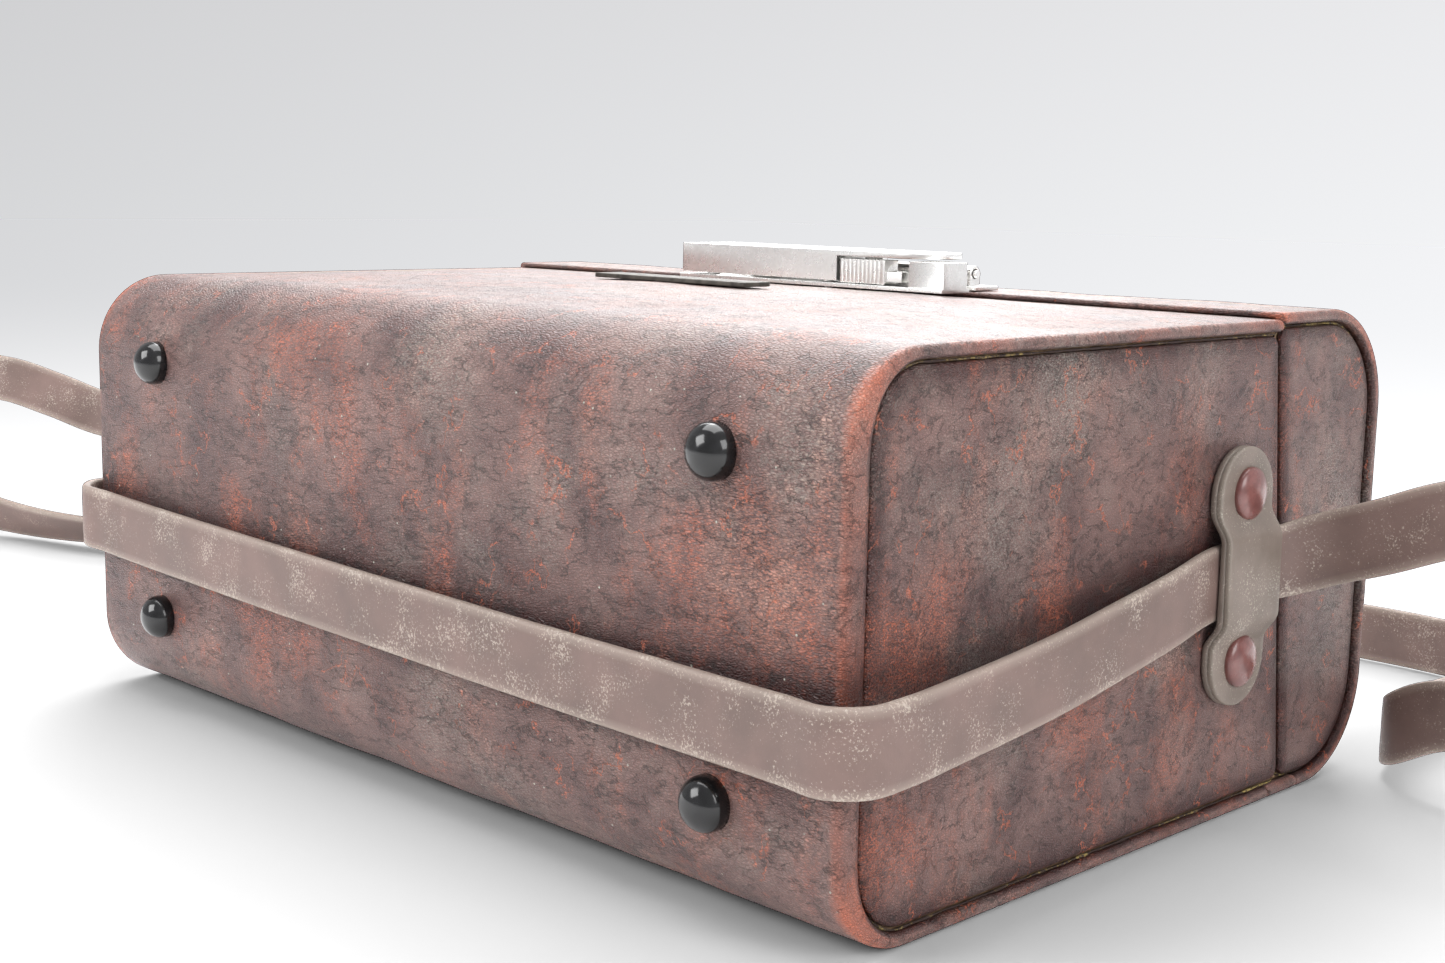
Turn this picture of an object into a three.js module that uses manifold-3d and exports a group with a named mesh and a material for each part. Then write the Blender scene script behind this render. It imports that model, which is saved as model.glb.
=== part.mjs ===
// Rigid leather-covered carrying case with a hinged lid, a front latch and a flat shoulder strap.
//
// The case lies on its back. +X runs to its right end, +Y from the bottom with the feet to the lid,
// and +Z out of the front panel. All sizes are in millimetres. The pieces are built with y = 0 on the
// bottom panel, and the whole group is then moved so that the origin is under the middle of the case.

import * as THREE from 'three';
import { mergeVertices } from 'three/addons/utils/BufferGeometryUtils.js';
import Module from 'manifold-3d';

const wasm = await Module();
wasm.setup();

// ---- Driving dimensions -------------------------------------------------------------------------

const WIDTH = 310;            // over the rims of the two ends
const DEPTH = 128;            // back panel to front panel, at the edges of the front panel
const HEIGHT = 221.5;         // bottom panel to the top of the lid
const BOTTOM_RADIUS = 23;
const LID_RADIUS = 28;
const LIP_PROUD = 1.8;        // how far the lid's front stands out over the body's front
const CROWN = 3.3;            // how far the front panel swells in its middle
const CROWN_Y = 88;
const CROWN_HALF = 80;

const PART_Y = 174;           // the parting line, half way through the depth
const PART_SLOPE = -0.115;    // it is lower at the front than at the back
const PART_GAP = 0.5;         // half the gap between body and lid

const GAP = 0.3;              // between pieces that touch
const LEATHER = 1.6;
const RIM_THICK = 3.4;        // the turned edge round each end
const RIM_LENGTH = 3.2;
const GROOVE = 0.8;           // between the rim and the end panel
const BOARD = 3.0;
const CLOTH = 1.0;
const END_SKIN = 2.2;
const HINGE_REACH = 7.5;      // leather hinge, each side of the parting line

const FOOT_DIAMETER = 12.7;
const FOOT_HEIGHT = 6.5;
const FOOT_X = 117.7;
const FOOT_Z = [27.5, 104];

const STRAP_WIDTH = 19;
const STRAP_THICK = 2.8;
const KEEPER_Y = 148.5;
const KEEPER_LENGTH = 66.5;
const KEEPER_WIDTH = 24.5;
const KEEPER_THICK = 3.5;
const RIVET_SPACING = 43;
const RIVET_CAP = 13.4;

const LATCH_HALF = 54.5;
const LATCH_Y = 152.5;
const LATCH_Z = 129.6;        // underside of the latch base
const PIN_Y = 176;
const PIN_Z = 134.6;
const PIN_RADIUS = 1.2;
const SLIDER_X = [14.5, 32];

const MID_Z = DEPTH / 2;
const HALF = WIDTH / 2;
const SHELL_OUT = LEATHER + GAP;
const SHELL_IN = SHELL_OUT + BOARD;
const LINING_OUT = SHELL_IN + GAP;
const LINING_IN = LINING_OUT + CLOTH;
const SHELL_HALF = HALF - RIM_LENGTH - GAP;
const CAVITY_HALF = SHELL_HALF - BOARD - GAP;
const PANEL_X = SHELL_HALF + GAP + END_SKIN;
const LID_DEPTH = DEPTH + LIP_PROUD;

// ---- Materials ----------------------------------------------------------------------------------

function finish(name, colour, roughness, metalness) {
  return new THREE.MeshStandardMaterial({ name, color: colour, roughness, metalness });
}

const caseLeather = () => finish('case leather', 0x7a4a40, 0.5, 0);
const strapLeather = () => finish('strap leather', 0x6f5650, 0.65, 0);
const fibreboard = () => finish('fibreboard', 0x8a7458, 0.9, 0);
const lining = () => finish('lining cloth', 0x6b5140, 0.95, 0);
const blackEnamel = () => finish('black enamel', 0x0d0d0f, 0.15, 0.1);
const rivetEnamel = () => finish('rivet enamel', 0x6e3430, 0.3, 0.1);
const brightMetal = () => finish('bright metal', 0xd9d9dc, 0.2, 1);
const agedMetal = () => finish('aged metal', 0x6d675c, 0.45, 0.9);

// ---- Solids and cuts ----------------------------------------------------------------------------

const group = new THREE.Group();

function solid(geometry) {
  const plain = geometry.clone();
  plain.deleteAttribute('normal');
  plain.deleteAttribute('uv');
  const merged = mergeVertices(plain, 1e-4);
  return new wasm.Manifold(new wasm.Mesh({
    numProp: 3,
    vertProperties: new Float32Array(merged.attributes.position.array),
    triVerts: new Uint32Array(merged.index.array),
  }));
}

function surface(manifold) {
  const mesh = manifold.getMesh();
  const geometry = new THREE.BufferGeometry();
  geometry.setAttribute('position', new THREE.BufferAttribute(mesh.vertProperties, 3));
  geometry.setIndex(new THREE.BufferAttribute(mesh.triVerts, 1));
  geometry.computeVertexNormals();
  return geometry;
}

function subtract(body, ...tools) {
  return tools.reduce((rest, tool) => rest.subtract(tool), body);
}

function join(first, ...others) {
  return others.reduce((sum, other) => sum.add(other), first);
}

function add(name, shape, material) {
  const geometry = shape.isBufferGeometry ? shape : surface(shape);
  const mesh = new THREE.Mesh(geometry, material);
  mesh.name = name;
  group.add(mesh);
}

// An outline in (y, z), extruded along X from x0 to x1.
function alongX(shape, x0, x1, steps = 1) {
  const geometry = new THREE.ExtrudeGeometry(shape, {
    depth: x1 - x0, steps, bevelEnabled: false, curveSegments: 5,
  });
  const axes = new THREE.Matrix4().makeBasis(
    new THREE.Vector3(0, 1, 0), new THREE.Vector3(0, 0, 1), new THREE.Vector3(1, 0, 0));
  return geometry.applyMatrix4(axes).translate(x0, 0, 0);
}

function box(x0, x1, y0, y1, z0, z1) {
  const geometry = new THREE.BoxGeometry(x1 - x0, y1 - y0, z1 - z0);
  return geometry.translate((x0 + x1) / 2, (y0 + y1) / 2, (z0 + z1) / 2);
}

// A round piece turned about an axis from `start` in `direction`; profile rows are [radius, height].
function turned(profile, start, direction, segments = 24) {
  const points = profile.map(([radius, height]) => new THREE.Vector2(radius, height));
  const turn = new THREE.Quaternion().setFromUnitVectors(new THREE.Vector3(0, 1, 0), direction);
  return new THREE.LatheGeometry(points, segments).applyQuaternion(turn)
    .translate(start.x, start.y, start.z);
}

function rod(radius, start, direction, length, segments = 12) {
  return turned([[0, 0], [radius, 0], [radius, length], [0, length]], start, direction, segments);
}

const RIGHT = new THREE.Vector3(1, 0, 0);
const LEFT = new THREE.Vector3(-1, 0, 0);
const UP = new THREE.Vector3(0, 0, 1);
const INTO_LID = new THREE.Vector3(0, 1, 0);
const OUT_OF_BOTTOM = new THREE.Vector3(0, -1, 0);
const at = (x, y, z) => new THREE.Vector3(x, y, z);

// ---- The two rounded boxes ----------------------------------------------------------------------

const partingY = (z) => PART_Y + PART_SLOPE * (z - MID_Z);

// The body's side outline, `inset` inside its outer face and open towards the lid at the parting
// line plus `reach`. The front edge is cut into short lengths so that it can be swelled.
function bodyOutline(inset, reach) {
  const r = BOTTOM_RADIUS;
  const top = DEPTH - inset;
  const shape = new THREE.Shape();
  shape.moveTo(partingY(inset) + reach, inset);
  shape.lineTo(r, inset);
  shape.absarc(r, r, r - inset, -Math.PI / 2, -Math.PI, true);
  shape.lineTo(inset, DEPTH - r);
  shape.absarc(r, DEPTH - r, r - inset, Math.PI, Math.PI / 2, true);
  const end = partingY(top) + reach;
  const pieces = 5;
  for (let i = 1; i <= pieces; i += 1) {
    shape.lineTo(r + (end - r) * i / pieces, top);
  }
  return shape;
}

function lidOutline(inset, reach) {
  const r = LID_RADIUS;
  const top = LID_DEPTH - inset;
  const shape = new THREE.Shape();
  shape.moveTo(partingY(top) + reach, top);
  shape.lineTo(HEIGHT - r, top);
  shape.absarc(HEIGHT - r, LID_DEPTH - r, r - inset, Math.PI / 2, 0, true);
  shape.lineTo(HEIGHT - inset, r);
  shape.absarc(HEIGHT - r, r, r - inset, 0, -Math.PI / 2, true);
  shape.lineTo(partingY(inset) + reach, inset);
  return shape;
}

// Height of the swell over the front panel: a dome that dies away at the panel's edges.
function swell(x, y, z) {
  const across = Math.max(0, 1 - (x / HALF) ** 2);
  const along = Math.max(0, 1 - ((y - CROWN_Y) / CROWN_HALF) ** 2);
  const front = Math.min(1, Math.max(0, (z - (DEPTH - BOTTOM_RADIUS)) / (BOTTOM_RADIUS - 6)));
  return CROWN * across * along * front;
}

function swelled(geometry) {
  const position = geometry.attributes.position;
  for (let i = 0; i < position.count; i += 1) {
    const x = position.getX(i);
    const y = position.getY(i);
    const z = position.getZ(i);
    position.setZ(i, z + swell(x, y, z));
  }
  return geometry;
}

const bodyBlock = (inset, half, reach) => solid(swelled(alongX(bodyOutline(inset, reach), -half, half, 6)));
const flatBodyBlock = (inset, half, reach) => solid(alongX(bodyOutline(inset, reach), -half, half));
const lidBlock = (inset, half, reach) => solid(alongX(lidOutline(inset, reach), -half, half));

// Leather sleeve with a thick turned rim at each end: the outer block, less the room for the shell,
// less a hole through both rims.
function sleeve(block, edge, past) {
  return subtract(
    block(0, HALF, edge),
    block(LEATHER, HALF - RIM_LENGTH, past),
    block(RIM_THICK, WIDTH, past));
}

function tub(block, outer, inner, outerHalf, innerHalf, edge, past) {
  return subtract(block(outer, outerHalf, edge), block(inner, innerHalf, past));
}

// ---- Holes shared by several pieces -------------------------------------------------------------

const footSpots = [];
for (const side of [-1, 1]) {
  for (const z of FOOT_Z) {
    footSpots.push(at(side * FOOT_X, 0, z));
  }
}

const rivetHeights = [MID_Z - RIVET_SPACING / 2, MID_Z + RIVET_SPACING / 2];
const baseRivets = [at(-45, 159, 0), at(5, 159, 0)];
const lidRivets = [at(-30, 171.5, 0), at(30, 171.5, 0)];
const SHANK = 1.4;
const SHANK_HOLE = 1.7;
const WASHER = 3.5;

const footHoles = (radius) => footSpots.map((spot) => solid(
  rod(radius, at(spot.x, -2, spot.z), INTO_LID, 20)));
const keeperHoles = (radius) => [LEFT, RIGHT].flatMap((way) => rivetHeights.map((z) => solid(
  rod(radius, at(way.x * (CAVITY_HALF - 8), KEEPER_Y, z), way, 40))));
const latchHoles = (spots, radius) => spots.map((spot) => solid(
  rod(radius, at(spot.x, spot.y, LID_DEPTH - 20), UP, 40)));

// ---- Body ---------------------------------------------------------------------------------------

const HINGE_Y = partingY(0);
const hingeRoom = solid(box(-WIDTH, WIDTH, HINGE_Y - HINGE_REACH - GAP, HINGE_Y + HINGE_REACH + GAP,
  -10, LEATHER + GAP / 2));

function buildBody() {
  const wrap = subtract(sleeve(bodyBlock, -PART_GAP, 30), hingeRoom, ...footHoles(SHANK_HOLE),
    ...latchHoles(baseRivets, SHANK_HOLE));
  add('body_wrap', wrap, caseLeather());

  const shell = subtract(
    tub(bodyBlock, SHELL_OUT, SHELL_IN, SHELL_HALF, CAVITY_HALF + GAP, -PART_GAP, 30),
    ...footHoles(SHANK_HOLE), ...keeperHoles(SHANK_HOLE), ...latchHoles(baseRivets, SHANK_HOLE));
  add('body_shell', shell, fibreboard());

  const cloth = subtract(
    tub(flatBodyBlock, LINING_OUT, LINING_IN, CAVITY_HALF, CAVITY_HALF - CLOTH, -1.5, 30),
    ...footHoles(WASHER + 0.6), ...keeperHoles(WASHER + 0.6), ...latchHoles(baseRivets, WASHER + 0.6));
  add('body_lining', cloth, lining());

  for (const [name, way] of [['body_end_right', 1], ['body_end_left', -1]]) {
    const inner = SHELL_HALF + GAP;
    const outline = bodyOutline(RIM_THICK + GROOVE, -PART_GAP - GAP);
    const skin = solid(alongX(outline, Math.min(way * inner, way * PANEL_X),
      Math.max(way * inner, way * PANEL_X)));
    add(name, subtract(skin, ...keeperHoles(SHANK_HOLE)), caseLeather());
  }
}

// A thin board standing in the mouth of the body, round the front and the two ends, that the lid
// drops over. It is cut from a block the shape of the cavity.
function buildInnerLip() {
  const outer = LINING_IN + GAP;
  const outerHalf = CAVITY_HALF - CLOTH - GAP;
  const board = 1.5;
  const below = 20;
  const above = 7;
  const ring = subtract(flatBodyBlock(outer, outerHalf, above),
    flatBodyBlock(outer + board, outerHalf - board, 30));
  const lowCut = solid(alongX(bodyOutline(-20, -below), -WIDTH, WIDTH));
  const backCut = solid(box(-WIDTH, WIDTH, 0, HEIGHT, -5, 30));
  const lip = subtract(ring, lowCut, backCut, ...keeperHoles(WASHER + 0.6),
    ...latchHoles(baseRivets, WASHER + 0.6));
  add('body_inner_lip', lip, fibreboard());
}

function buildHingeLeather() {
  const half = HALF - RIM_LENGTH;
  add('hinge_leather', box(-half, half, HINGE_Y - HINGE_REACH, HINGE_Y + HINGE_REACH, 0, LEATHER - GAP / 2),
    caseLeather());
}

// ---- Feet and rivets ----------------------------------------------------------------------------

// A dome on a shank. The dome's rim stands GAP off the leather, and the shank runs through to `reach`.
function domedStud(diameter, height, reach, start, direction, steps = 6, segments = 20) {
  const radius = diameter / 2;
  const profile = [[0, -reach], [SHANK, -reach], [SHANK, 0], [radius * 0.92, 0]];
  for (let i = 0; i <= steps; i += 1) {
    const angle = Math.PI / 2 * i / steps;
    const across = i === steps ? 0 : radius * Math.cos(angle);
    profile.push([across, 0.5 + (height - 0.5) * Math.sin(angle)]);
  }
  return turned(profile, start, direction, segments);
}

function washer(start, direction) {
  const thick = 0.9;
  return turned([[SHANK_HOLE, 0], [WASHER, 0], [WASHER, thick], [SHANK_HOLE, thick], [SHANK_HOLE, 0]],
    start, direction, 12);
}

function buildFeet() {
  const names = ['foot_back_left', 'foot_front_left', 'foot_back_right', 'foot_front_right'];
  footSpots.forEach((spot, i) => {
    const stud = domedStud(FOOT_DIAMETER, FOOT_HEIGHT, LINING_IN, at(spot.x, -GAP, spot.z), OUT_OF_BOTTOM);
    add(names[i], stud, blackEnamel());
  });
  footSpots.forEach((spot, i) => {
    add(`${names[i]}_washer`, washer(at(spot.x, SHELL_IN + GAP, spot.z), INTO_LID), agedMetal());
  });
}

function buildKeeperRivets() {
  for (const [side, way] of [['right', RIGHT], ['left', LEFT]]) {
    const face = PANEL_X + GAP + KEEPER_THICK + GAP;
    const reach = face - (CAVITY_HALF - CLOTH);
    const back = way.x > 0 ? LEFT : RIGHT;
    rivetHeights.forEach((z, i) => {
      const end = i === 0 ? 'back' : 'front';
      const stud = domedStud(RIVET_CAP, 3.2, reach, at(way.x * face, KEEPER_Y, z), way, 4, 16);
      add(`keeper_rivet_${side}_${end}`, stud, rivetEnamel());
      add(`keeper_burr_${side}_${end}`, washer(at(way.x * CAVITY_HALF, KEEPER_Y, z), back), agedMetal());
    });
  }
}

// ---- Strap keepers ------------------------------------------------------------------------------

// A leather tab with round ends, riveted at both ends and arched over the strap in its middle.
function buildKeepers() {
  const inner = PANEL_X + GAP;
  const slot = inner + STRAP_THICK + 0.8;
  const halfSlot = STRAP_WIDTH / 2 + 1.5;
  const reach = KEEPER_LENGTH / 2;
  const arch = new THREE.Shape();
  const rows = [
    [-reach, inner + KEEPER_THICK], [-14.5, inner + KEEPER_THICK], [-11.2, slot + KEEPER_THICK],
    [11.2, slot + KEEPER_THICK], [14.5, inner + KEEPER_THICK], [reach, inner + KEEPER_THICK],
    [reach, inner], [halfSlot, inner], [halfSlot, slot], [-halfSlot, slot], [-halfSlot, inner],
    [-reach, inner],
  ];
  rows.forEach(([z, x], i) => (i === 0 ? arch.moveTo(z, x) : arch.lineTo(z, x)));
  const radius = KEEPER_WIDTH / 2;
  const outline = new THREE.Shape();
  outline.absarc(KEEPER_Y, MID_Z + reach - radius, radius, 0, Math.PI, false);
  outline.absarc(KEEPER_Y, MID_Z - reach + radius, radius, Math.PI, 2 * Math.PI, false);

  for (const [side, way] of [['right', 1], ['left', -1]]) {
    const band = new THREE.ExtrudeGeometry(arch, { depth: KEEPER_WIDTH + 10, bevelEnabled: false });
    // shape x becomes Z, shape y becomes X, and the extrusion runs along Y
    band.applyMatrix4(new THREE.Matrix4().makeBasis(UP, RIGHT, INTO_LID));
    band.translate(0, KEEPER_Y - KEEPER_WIDTH / 2 - 5, MID_Z);
    const tab = solid(band).intersect(solid(alongX(outline, 0, WIDTH)));
    const placed = way > 0 ? tab : tab.mirror([1, 0, 0]);
    add(`strap_keeper_${side}`, subtract(placed, ...keeperHoles(SHANK_HOLE)), strapLeather());
  }
}

// ---- Lid ----------------------------------------------------------------------------------------

function buildLid() {
  const wrap = subtract(sleeve(lidBlock, PART_GAP, -30), hingeRoom, ...latchHoles(lidRivets, SHANK_HOLE));
  add('lid_wrap', wrap, caseLeather());
  const shell = subtract(
    tub(lidBlock, SHELL_OUT, SHELL_IN, SHELL_HALF, CAVITY_HALF + GAP, PART_GAP, -30),
    ...latchHoles(lidRivets, SHANK_HOLE));
  add('lid_shell', shell, fibreboard());
  const cloth = subtract(
    tub(lidBlock, LINING_OUT, LINING_IN, CAVITY_HALF, CAVITY_HALF - CLOTH, 1.5, -30),
    ...latchHoles(lidRivets, WASHER + 0.6));
  add('lid_lining', cloth, lining());
  for (const [name, way] of [['lid_end_right', 1], ['lid_end_left', -1]]) {
    const inner = SHELL_HALF + GAP;
    const outline = lidOutline(RIM_THICK + GROOVE, PART_GAP + GAP);
    add(name, alongX(outline, Math.min(way * inner, way * PANEL_X), Math.max(way * inner, way * PANEL_X)),
      caseLeather());
  }
}

// ---- Latch --------------------------------------------------------------------------------------

const PLATE = 1.2;
const BASE_TOP = LATCH_Z + PLATE;
const LID_PLATE_Z = LID_DEPTH + GAP;
const LID_PLATE_TOP = LID_PLATE_Z + PLATE;
const BLOCK_X = 41.5;
const COVER_TOP = 140.6;
const COVER_THICK = 1.6;
const BAR_END = 13;
const COVER_END = 48;
const EAR_X = [[-52, -44], [40, 48]];
const KNUCKLE = 2.4;

function buildLatchBase() {
  const plate = solid(box(-LATCH_HALF, LATCH_HALF, LATCH_Y, 165.2, LATCH_Z, BASE_TOP));
  const block = solid(box(BLOCK_X, LATCH_HALF, LATCH_Y + 0.5, 164, LATCH_Z, 138.4));
  const rail = solid(box(SLIDER_X[0], BLOCK_X + 1, 160.2, 164, LATCH_Z, 133.2));
  const pocket = solid(box(BLOCK_X - 1, BLOCK_X + 7, LATCH_Y + 1.2, 159.4, BASE_TOP + 0.6, 135.5));
  const base = subtract(join(plate, block, rail), pocket, ...latchHoles(baseRivets, SHANK_HOLE));
  add('latch_base', base, brightMetal());
}

// The thumb piece: a block whose front face is knurled, with a tongue that runs into the end block.
function buildLatchSlider() {
  const [x0, x1] = SLIDER_X;
  const pad = solid(box(x0, x1, LATCH_Y + 0.9, 159.6, BASE_TOP + GAP, 138.2));
  const tongue = solid(box(x1 - 1, x1 + 6, LATCH_Y + 1.7, 158.9, BASE_TOP + 1.1, 135));
  const pitch = 1.6;
  const grooves = [];
  for (let x = x0 + 1.2; x < x1 - 0.8; x += pitch) {
    grooves.push(solid(box(x - 0.35, x + 0.35, LATCH_Y, LATCH_Y + 1.3, BASE_TOP, 140)));
  }
  add('latch_slider', subtract(join(pad, tongue), ...grooves), brightMetal());
}

function buildLatchLidPlate() {
  let plate = solid(box(-LATCH_HALF, LATCH_HALF, 168, 179, LID_PLATE_Z, LID_PLATE_TOP));
  for (const [x0, x1] of EAR_X) {
    const web = solid(box(x0, x1, PIN_Y - KNUCKLE, PIN_Y + KNUCKLE, LID_PLATE_Z, PIN_Z));
    const eye = solid(rod(KNUCKLE, at(x0, PIN_Y, PIN_Z), RIGHT, x1 - x0));
    plate = join(plate, web, eye);
  }
  const bore = solid(rod(PIN_RADIUS + 0.3, at(-WIDTH, PIN_Y, PIN_Z), RIGHT, 2 * WIDTH));
  add('latch_lid_plate', subtract(plate, bore, ...latchHoles(lidRivets, SHANK_HOLE)), brightMetal());
  const pinStart = EAR_X[0][0] - 1;
  add('latch_pin', rod(PIN_RADIUS, at(pinStart, PIN_Y, PIN_Z), RIGHT, EAR_X[1][1] + 1 - pinStart),
    brightMetal());
}

// The hasp: a cover hinged on the lid that closes down over the body's plate. Its left part is a
// box with a front skirt, and its right part is a tongue with a round end over the slider.
function buildLatchHasp() {
  const left = -LATCH_HALF + 0.5;
  const under = COVER_TOP - COVER_THICK;
  const front = LATCH_Y + 0.9;
  const cover = new THREE.Shape();
  const back = PIN_Y + 1.2;
  const round = (back - front) / 2;
  cover.moveTo(left, front);
  cover.lineTo(COVER_END - round, front);
  cover.absarc(COVER_END - round, front + round, round, -Math.PI / 2, Math.PI / 2, false);
  cover.lineTo(left, back);
  const top = new THREE.ExtrudeGeometry(cover, { depth: COVER_THICK, bevelEnabled: false, curveSegments: 10 });
  top.translate(0, 0, under);
  const foot = LID_PLATE_TOP + 0.2;
  const skirt = box(left, BAR_END, front, front + COVER_THICK, foot, under + 0.5);
  const leftWall = box(left, left + COVER_THICK, front, 166.5, foot, under + 0.5);
  const rightWall = box(BAR_END - COVER_THICK, BAR_END, front, 166.5, foot, under + 0.5);
  const barrelLeft = EAR_X[0][1] + 0.4;
  const barrelRight = EAR_X[1][0] - 0.4;
  const barrel = rod(KNUCKLE, at(barrelLeft, PIN_Y, PIN_Z), RIGHT, barrelRight - barrelLeft);
  const web = box(barrelLeft, BAR_END, PIN_Y - 1.4, PIN_Y + 1.2, PIN_Z, under + 0.5);
  const bore = solid(rod(PIN_RADIUS + 0.3, at(-WIDTH, PIN_Y, PIN_Z), RIGHT, 2 * WIDTH));
  const hasp = join(...[top, skirt, leftWall, rightWall, barrel, web].map(solid));
  add('latch_hasp', subtract(hasp, bore), brightMetal());
}

// Flat-headed rivets through a latch plate, the leather and the board, spread inside.
function latchRivets(name, spots, headZ, innerZ) {
  spots.forEach((spot, i) => {
    const head = headZ + 0.7;
    const profile = [[0, 0], [WASHER, 0], [WASHER, 0.8], [SHANK, 0.8], [SHANK, headZ - innerZ],
      [2.2, headZ - innerZ], [2.2, head - innerZ], [0, head - innerZ]];
    add(`${name}_${i + 1}`, turned(profile, at(spot.x, spot.y, innerZ), UP, 12), brightMetal());
  });
}

function buildLatchRivets() {
  latchRivets('latch_base_rivet', baseRivets, BASE_TOP + 0.1, DEPTH - SHELL_IN - 0.9);
  latchRivets('latch_lid_rivet', lidRivets, LID_PLATE_TOP + 0.1, LID_DEPTH - SHELL_IN - 1.1);
}

// ---- Badge --------------------------------------------------------------------------------------

function buildBadge() {
  const z = DEPTH + CROWN + GAP;
  add('badge_plate', box(-31, 31, 95.5, 106, z, z + 1.3), agedMetal());
}

// ---- Shoulder strap -----------------------------------------------------------------------------

// One flat leather strap. Rows are [x, y, z, lean]: the middle of the strap, and how far its width
// leans over from standing straight up, in degrees. Its two ends lap behind the lid.
const STRAP_ROUTE = [
  [-34, 341.4, 11, 0], [0, 341.4, 10.6, 0], [34, 341.2, 10, 0], [80, 339.8, 10, 0], [120, 339.2, 10, 0],
  [147, 333, 10, 0], [161, 312, 10, 0], [162, 270, 10, 0], [161.5, 232, 11, 0], [168, 214, 14, 0],
  [184.6, 206, 23, 0], [208, 208, 27, 0], [232, 214, 37, 0], [250, 211, 55, 0], [256, 196, 75, 0],
  [246, 180, 86, 0], [224, 173, 87, 0], [200, 172, 82, 0], [182, 173, 75, 0], [168, 172.4, 70, 0],
  [159.4, 168.6, 66.4, 0], [156.1, 162, 65, 0], [156.1, 148.5, 64, 0], [156.2, 135, 63.2, 0],
  [158.6, 114, 60.4, 0],
  [160, 90, 57, 0], [160.6, 66.5, 53.4, 0], [161.2, 44, 51, 0], [162.6, 26, 50, 0],
  [164, 10, 49.4, 0], [163, -1, 49, 0], [156, -6.4, 48.6, 0], [144, -5, 48.2, 0],
  [118, -3.3, 47.8, 0], [60, -2.7, 48.2, 0], [0, -2.7, 49.2, 0], [-60, -2.7, 50.4, 0],
  [-118, -3.2, 52, 0], [-144, -4.4, 53.4, 0], [-154.6, -4.8, 53.9, 0], [-160.4, 0, 54.3, 0],
  [-161, 10.5, 54.6, 0], [-160.2, 26, 55.6, 0], [-159.6, 60, 58, 0], [-158.6, 100, 61, 0],
  [-156.2, 135, 63.4, 0], [-156.1, 148.5, 64, 0], [-156.1, 162, 64.3, 0], [-159.6, 168.6, 64.2, 0],
  [-168, 172, 63.6, 0], [-190, 171, 61.5, 4], [-245, 163, 57, 8], [-310, 145, 53, 12], [-370, 112.6, 56, 14],
  [-388, 97.4, 64, 14], [-405, 83, 70.5, 14], [-430, 65, 70, 10], [-450, 54, 57, 0],
  [-456, 54, 38, 0], [-443, 64, 19, 10], [-409, 82, 10.2, 30], [-353, 100, 8.6, 48],
  [-300, 134, 9.2, 40], [-262, 186, 10.2, 20], [-232, 244, 10.2, 0], [-196, 300, 10.2, 0],
  [-150, 330, 10.2, 0], [-96, 337.4, 10.2, 0], [-40, 338, 11, 0], [0, 338, 11, 0], [34, 338, 11, 0],
];

const STRAP_STEPS = 80;

class BandPath extends THREE.CatmullRomCurve3 {
  constructor(rows) {
    super(rows.map(([x, y, z]) => at(x, y, z)), false, 'centripetal');
    this.leans = rows.map((row) => THREE.MathUtils.degToRad(row[3]));
  }

  // The rows are closer where the strap bends, so its steps follow the rows.
  getSpacedPoints(count) {
    return this.getPoints(count);
  }

  lean(t) {
    const place = t * (this.leans.length - 1);
    const row = Math.min(Math.floor(place), this.leans.length - 2);
    return THREE.MathUtils.lerp(this.leans[row], this.leans[row + 1], place - row);
  }

  // Frames with the binormal, which carries the strap's width, near the vertical.
  computeFrenetFrames(count) {
    const frames = { tangents: [], normals: [], binormals: [] };
    for (let i = 0; i <= count; i += 1) {
      const t = i / count;
      const before = this.getPoint(Math.max(0, t - 0.002));
      const tangent = this.getPoint(Math.min(1, t + 0.002)).sub(before).normalize();
      const normal = new THREE.Vector3().crossVectors(UP, tangent).normalize();
      normal.applyAxisAngle(tangent, this.lean(t));
      frames.tangents.push(tangent);
      frames.normals.push(normal);
      frames.binormals.push(new THREE.Vector3().crossVectors(tangent, normal));
    }
    return frames;
  }
}

// Cross-section of the strap: a flat rectangle with its long edges rounded off in eight corners.
function strapSection() {
  const halfThick = STRAP_THICK / 2;
  const halfWidth = STRAP_WIDTH / 2;
  const cut = 0.7;
  const corners = [
    [-halfThick, -halfWidth + cut], [-halfThick + cut, -halfWidth], [halfThick - cut, -halfWidth],
    [halfThick, -halfWidth + cut], [halfThick, halfWidth - cut], [halfThick - cut, halfWidth],
    [-halfThick + cut, halfWidth], [-halfThick, halfWidth - cut],
  ];
  return new THREE.Shape(corners.map(([x, y]) => new THREE.Vector2(x, y)));
}

function buildStrap() {
  const path = new BandPath(STRAP_ROUTE);
  const strap = new THREE.ExtrudeGeometry(strapSection(), {
    steps: STRAP_STEPS, extrudePath: path, bevelEnabled: false,
  });
  const joinSpots = [-20, 20];
  const holes = joinSpots.map((x) => solid(rod(SHANK_HOLE, at(x, 330, 10.8), INTO_LID, 20)));
  add('strap', subtract(solid(strap), ...holes), strapLeather());
  const outer = 341.4 + STRAP_THICK / 2 + GAP;
  joinSpots.forEach((x, i) => {
    const stud = domedStud(9, 2, 7, at(x, outer, 10.8), INTO_LID, 3, 12);
    const tail = rod(3, at(x, outer - 6.9, 10.8), OUT_OF_BOTTOM, 0.9);
    add(`strap_join_rivet_${i + 1}`, join(solid(stud), solid(tail)), rivetEnamel());
  });
}

// ---- Assembly -----------------------------------------------------------------------------------

buildBody();
buildInnerLip();
buildHingeLeather();
buildFeet();
buildKeepers();
buildKeeperRivets();
buildLid();
buildLatchBase();
buildLatchSlider();
buildLatchLidPlate();
buildLatchHasp();
buildLatchRivets();
buildBadge();
buildStrap();

group.position.y = -(HEIGHT - FOOT_HEIGHT - GAP) / 2;

export default group;
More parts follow.
